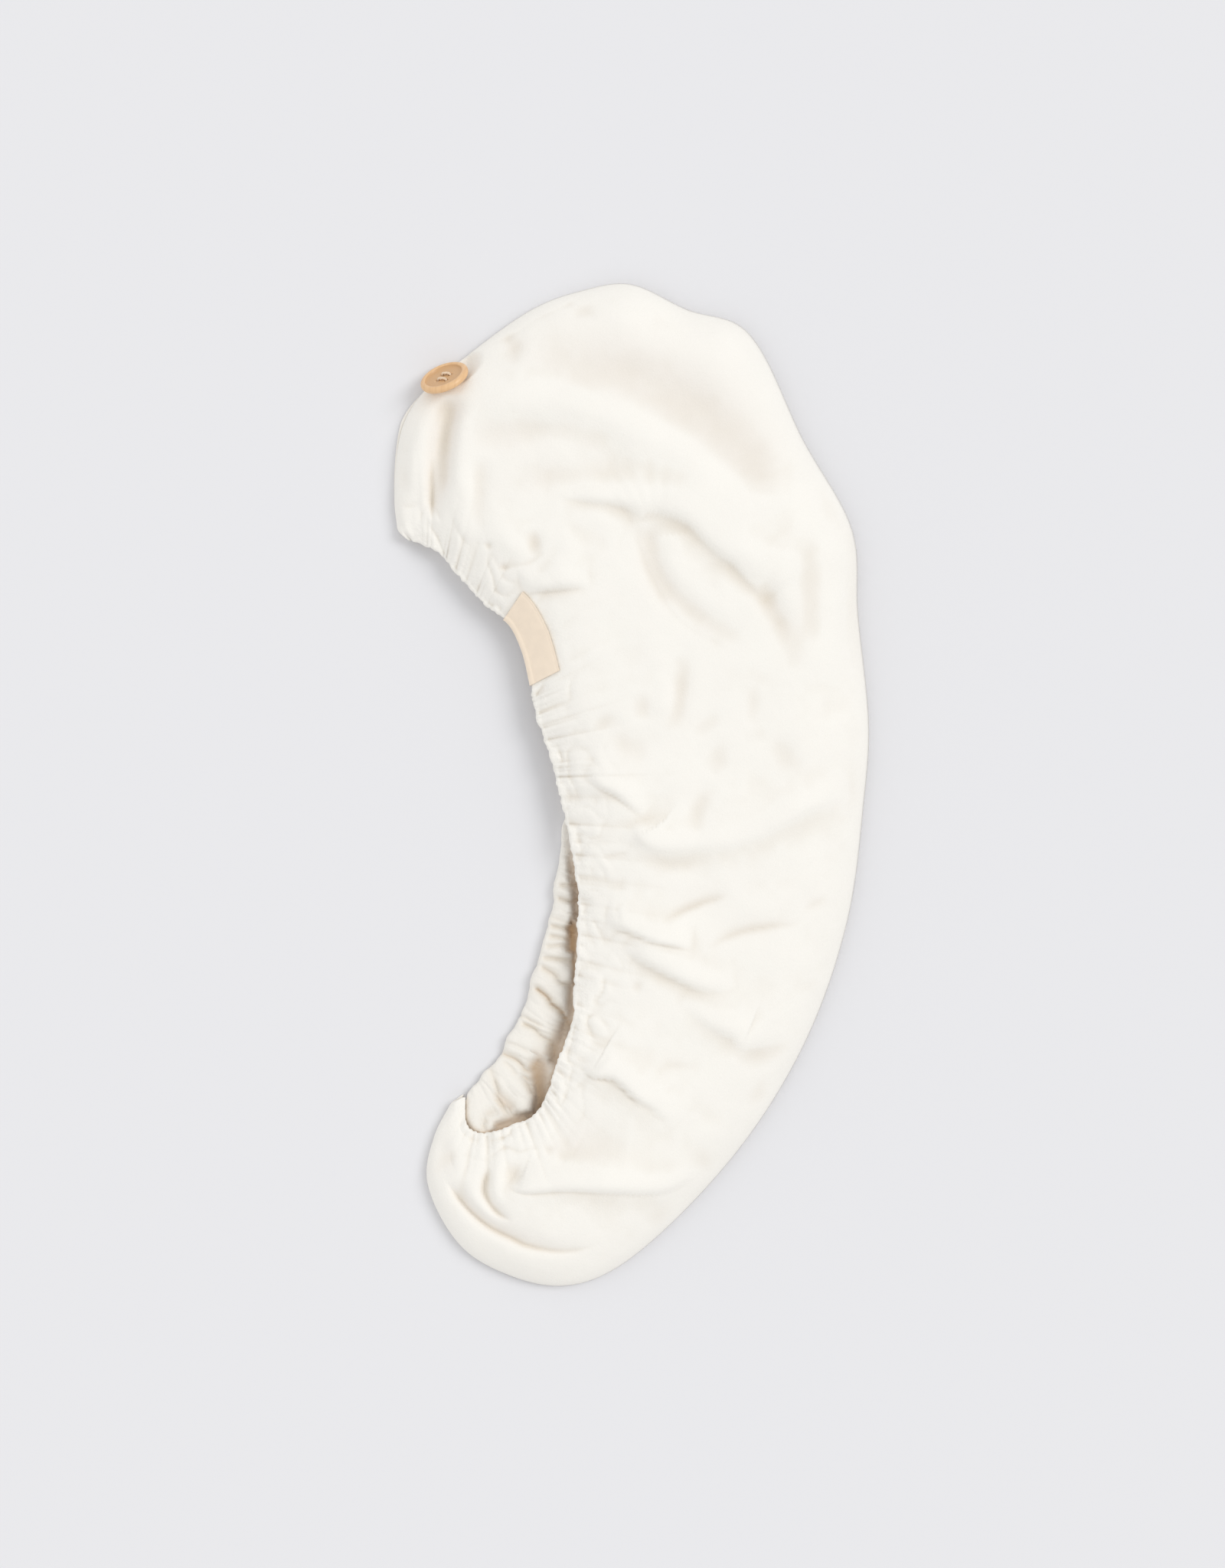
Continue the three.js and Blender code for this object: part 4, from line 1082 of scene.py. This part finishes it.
def sewing_thread():
    objs = []
    for sign in (-1, 1):
        middle = curve_points(thread_path(sign), THREAD.steps)
        turns = np.linspace(0, THREAD.twist * 2 * math.pi, len(middle))
        for strand in range(THREAD.strands):
            phase = turns + 2 * math.pi * strand / THREAD.strands
            offset = THREAD.radius * THREAD.share * np.stack([np.cos(phase), 0 * phase, np.sin(phase)], -1)
            rings = tube(middle + offset, THREAD.radius, THREAD.sides)
            objs.append(closed_strip("strand", placed(rings.reshape(-1, 3)).reshape(rings.shape)))
    low = THREAD_BACK - SHANK_LENGTH
    points, faces = lathe([(radius, low + height) for radius, height in SHANK_PROFILE], SHANK_SIDES)
    objs.append(make_mesh("shank", placed(points), faces))
    return join("sewing_thread", objs)


def join(name, objs):
    bpy.ops.object.select_all(action="DESELECT")
    for obj in objs:
        obj.select_set(True)
    bpy.context.view_layer.objects.active = objs[0]
    bpy.ops.object.join()
    joined = bpy.context.view_layer.objects.active
    joined.name = name
    joined.data.name = name
    return joined


# Materials

class Shader:
    """The node tree of a material or world, with short ways to add nodes and links."""

    def __init__(self, owner, surface="Principled BSDF"):
        owner.use_nodes = True
        self.owner = owner
        self.tree = owner.node_tree
        self.surface = self.tree.nodes[surface]

    def plug(self, socket, value):
        if isinstance(value, bpy.types.NodeSocket):
            self.tree.links.new(value, socket)
        else:
            socket.default_value = value

    def node(self, kind, inputs=None, **settings):
        node = self.tree.nodes.new(kind)
        for key, value in settings.items():
            setattr(node, key, value)
        for key, value in (inputs or {}).items():
            self.plug(node.inputs[key], value)
        return node

    def set(self, values):
        for name, value in values.items():
            self.plug(self.surface.inputs[name], value)

    def attribute(self, name):
        return self.node("ShaderNodeAttribute", attribute_name=name).outputs["Fac"]

    def noise(self, scale, detail=2, vector=None):
        vector = vector or self.node("ShaderNodeNewGeometry").outputs["Position"]
        inputs = {"Vector": vector, "Scale": scale, "Detail": detail}
        return self.node("ShaderNodeTexNoise", inputs).outputs["Fac"]

    def ramp(self, value, low, high):
        inputs = {"Value": value, "From Min": low, "From Max": high}
        return self.node("ShaderNodeMapRange", inputs).outputs["Result"]

    def mix(self, share, first, second):
        colours = [(*colour, 1) if isinstance(colour, tuple) else colour for colour in (first, second)]
        inputs = {0: share, 6: colours[0], 7: colours[1]}
        return self.node("ShaderNodeMix", inputs, data_type="RGBA").outputs[2]

    def bump(self, height, distance, strength, normal=None):
        inputs = {"Height": height, "Distance": distance, "Strength": strength}
        if normal:
            inputs["Normal"] = normal
        return self.node("ShaderNodeBump", inputs).outputs["Normal"]


def material(name):
    return Shader(bpy.data.materials.new(name))


def scaled(tone, share):
    return tuple(share * c for c in tone)


def plush(name, tone, terry):
    """Soft short pile: mottled cream with painted shade, warmer and darker, in hollows, creases and the
    mouth, with a fine nap and a soft sheen.
    """
    shader = material(name)
    base = shader.mix(shader.ramp(shader.noise(38, 3), 0.35, 0.65), tone, scaled(tone, 0.985))
    # Painted shade: the hollow, crease and deep attributes mix in the darker tones
    for attribute, colour in (("hollow", HOLLOW_SHADE), ("crease", CREASE_SHADE), ("deep", DEEP_SHADE)):
        base = shader.mix(shader.attribute(attribute), base, colour)
    nap = shader.bump(shader.noise(900, 3), 0.0005, 0.4)
    nap = shader.bump(shader.noise(240), 0.0010, 0.18, nap)
    loops = shader.node("ShaderNodeMath", {0: shader.attribute("hem"), 1: terry}, operation="MULTIPLY")
    shader.set({
        "Base Color": base, "Roughness": 1.0, "Specular IOR Level": 0.1,
        "Sheen Weight": 0.08, "Sheen Roughness": 0.6,
        "Normal": shader.bump(shader.noise(620), 0.0009, loops.outputs[0], nap),
    })
    return shader.owner


def satin(name, tone):
    """Fine woven ribbon with thin ribs along its length."""
    shader = material(name)
    position = shader.node("ShaderNodeNewGeometry").outputs["Position"]
    ribs = {"Vector": position, "Scale": 900, "Distortion": 1.5, "Detail": 1}
    weave = shader.node("ShaderNodeTexWave", ribs).outputs["Fac"]
    base = shader.mix(shader.ramp(shader.noise(160), 0.3, 0.7), tone, scaled(tone, 0.96))
    normal = shader.bump(weave, 0.0002, 0.4)
    shader.set({"Base Color": base, "Roughness": 0.62, "Sheen Weight": 0.2, "Normal": normal})
    return shader.owner


def wood(name, light, dark, line, recess):
    """Pale turned wood: long fibres across the button, thin darker growth lines, painted shade in the recess
    and a clear coat.
    """
    shader = material(name)
    coordinates = shader.node("ShaderNodeTexCoord").outputs["Object"]
    turned = {"Vector": coordinates, "Rotation": (0.3, 0.2, 0.5), "Scale": (260, 30, 160)}
    grain = shader.node("ShaderNodeMapping", turned).outputs["Vector"]
    fibres = shader.noise(1.0, 4, grain)
    growth = {"Vector": grain, "Scale": 0.35, "Distortion": 3, "Detail": 2}
    lines = shader.node("ShaderNodeTexWave", growth).outputs["Fac"]
    base = shader.mix(shader.ramp(fibres, 0.3, 0.7), light, dark)
    base = shader.mix(shader.ramp(lines, 0.6, 2.6), base, line)
    # Painted shade in the recess
    base = shader.mix(shader.attribute("recess"), base, recess)
    normal = shader.bump(fibres, 0.0002, 0.3)
    shader.set({"Base Color": base, "Roughness": 0.42, "Normal": normal})
    shader.set({"Coat Weight": 0.25, "Coat Roughness": 0.25})
    return shader.owner


def yarn(name, tone):
    """Cotton thread, lighter and darker along its strands."""
    shader = material(name)
    base = shader.mix(shader.noise(700), tone, scaled(tone, 0.8))
    normal = shader.bump(shader.noise(2500), 0.0002, 0.6)
    shader.set({"Base Color": base, "Roughness": 0.85, "Normal": normal})
    return shader.owner


def finish_piece(obj, surface, slot, *nodes):
    obj.data.materials.clear()
    obj.data.materials.append(surface)
    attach(obj, "root")
    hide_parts(*nodes)
    return obj


plush_top = plush("plush", CREAM, 0.4)
# Darker copy of the plush: painted shade for the lower panel
plush_inside_shaded = plush("plush_inside_shaded", INSIDE_SHADE_TONE, 0.4)
# Darker copy of the plush: painted shade for the lower hem
plush_hem_shaded = plush("plush_hem_shaded", HEM_SHADE_TONE, 0.45)
label_satin = satin("label_satin", LABEL_TONE)

upper = finish_piece(upper_cloth(), plush_top, "plush", "upper_panel", "upper_hem")
lower = finish_piece(lower_cloth(), plush_inside_shaded, "plush", "lower_panel")
ruffle = finish_piece(lower_hem(), plush_hem_shaded, "hem_plush", "lower_hem")
label = finish_piece(label_strip(), label_satin, "label_cloth", "label")
finish_piece(wooden_button(), wood("button_wood", *WOOD_TONES), "button_wood", "button")
finish_piece(sewing_thread(), yarn("sewing_thread", THREAD_TONE), "sewing_thread", "button_thread")

# Floor, light and camera

FLOOR_HALF = 4000
floor = make_mesh("floor", [(x * FLOOR_HALF, y * FLOOR_HALF, 0) for x, y in CORNERS], [(0, 1, 2, 3)])
floor_shader = material("floor")
floor_shader.set({"Base Color": (0.80, 0.80, 0.82, 1), "Roughness": 1.0, "Specular IOR Level": 0.0})
floor.data.materials.append(floor_shader.owner)

scene = bpy.context.scene
scene.view_settings.view_transform = "Standard"
scene.view_settings.look = "None"

# The sky is a little brighter on the mouth's side
SKY_STRENGTH = 0.79
SKY_SLOPE = -0.2
scene.world = bpy.data.worlds.new("studio")
sky = Shader(scene.world, "Background")
direction = sky.node("ShaderNodeTexCoord").outputs["Generated"]
split = sky.node("ShaderNodeSeparateXYZ", {0: direction})
slope = {
    "Value": split.outputs["X"], "From Min": -1, "From Max": 1,
    "To Min": SKY_STRENGTH - SKY_SLOPE, "To Max": SKY_STRENGTH + SKY_SLOPE,
}
sky.set({"Strength": sky.node("ShaderNodeMapRange", slope).outputs["Result"], "Color": (1, 1, 1, 1)})

KEY_FROM = Vector((1.0, 0.42, 1.2))
KEY_ENERGY = 1.0
KEY_ANGLE = math.radians(30)
key_data = bpy.data.lights.new("key", "SUN")
key_data.angle = KEY_ANGLE
key_data.energy = KEY_ENERGY
key = bpy.data.objects.new("key", key_data)
key.rotation_euler = (-KEY_FROM).to_track_quat("-Z", "Y").to_euler()
key.location = KEY_FROM
scene.collection.objects.link(key)

CAMERA_HEIGHT = 2.3
VIEW_CENTRE = (-0.0107, -0.0007)
VIEW_LENGTH = 0.9345
FOCUS_HEIGHT = 0.008
SENSOR = 36.0
camera_data = bpy.data.cameras.new("camera")
camera_data.sensor_width = SENSOR
camera_data.lens = SENSOR * (CAMERA_HEIGHT - FOCUS_HEIGHT) / VIEW_LENGTH
camera = bpy.data.objects.new("camera", camera_data)
camera.location = (*VIEW_CENTRE, CAMERA_HEIGHT)
scene.collection.objects.link(camera)
scene.camera = camera
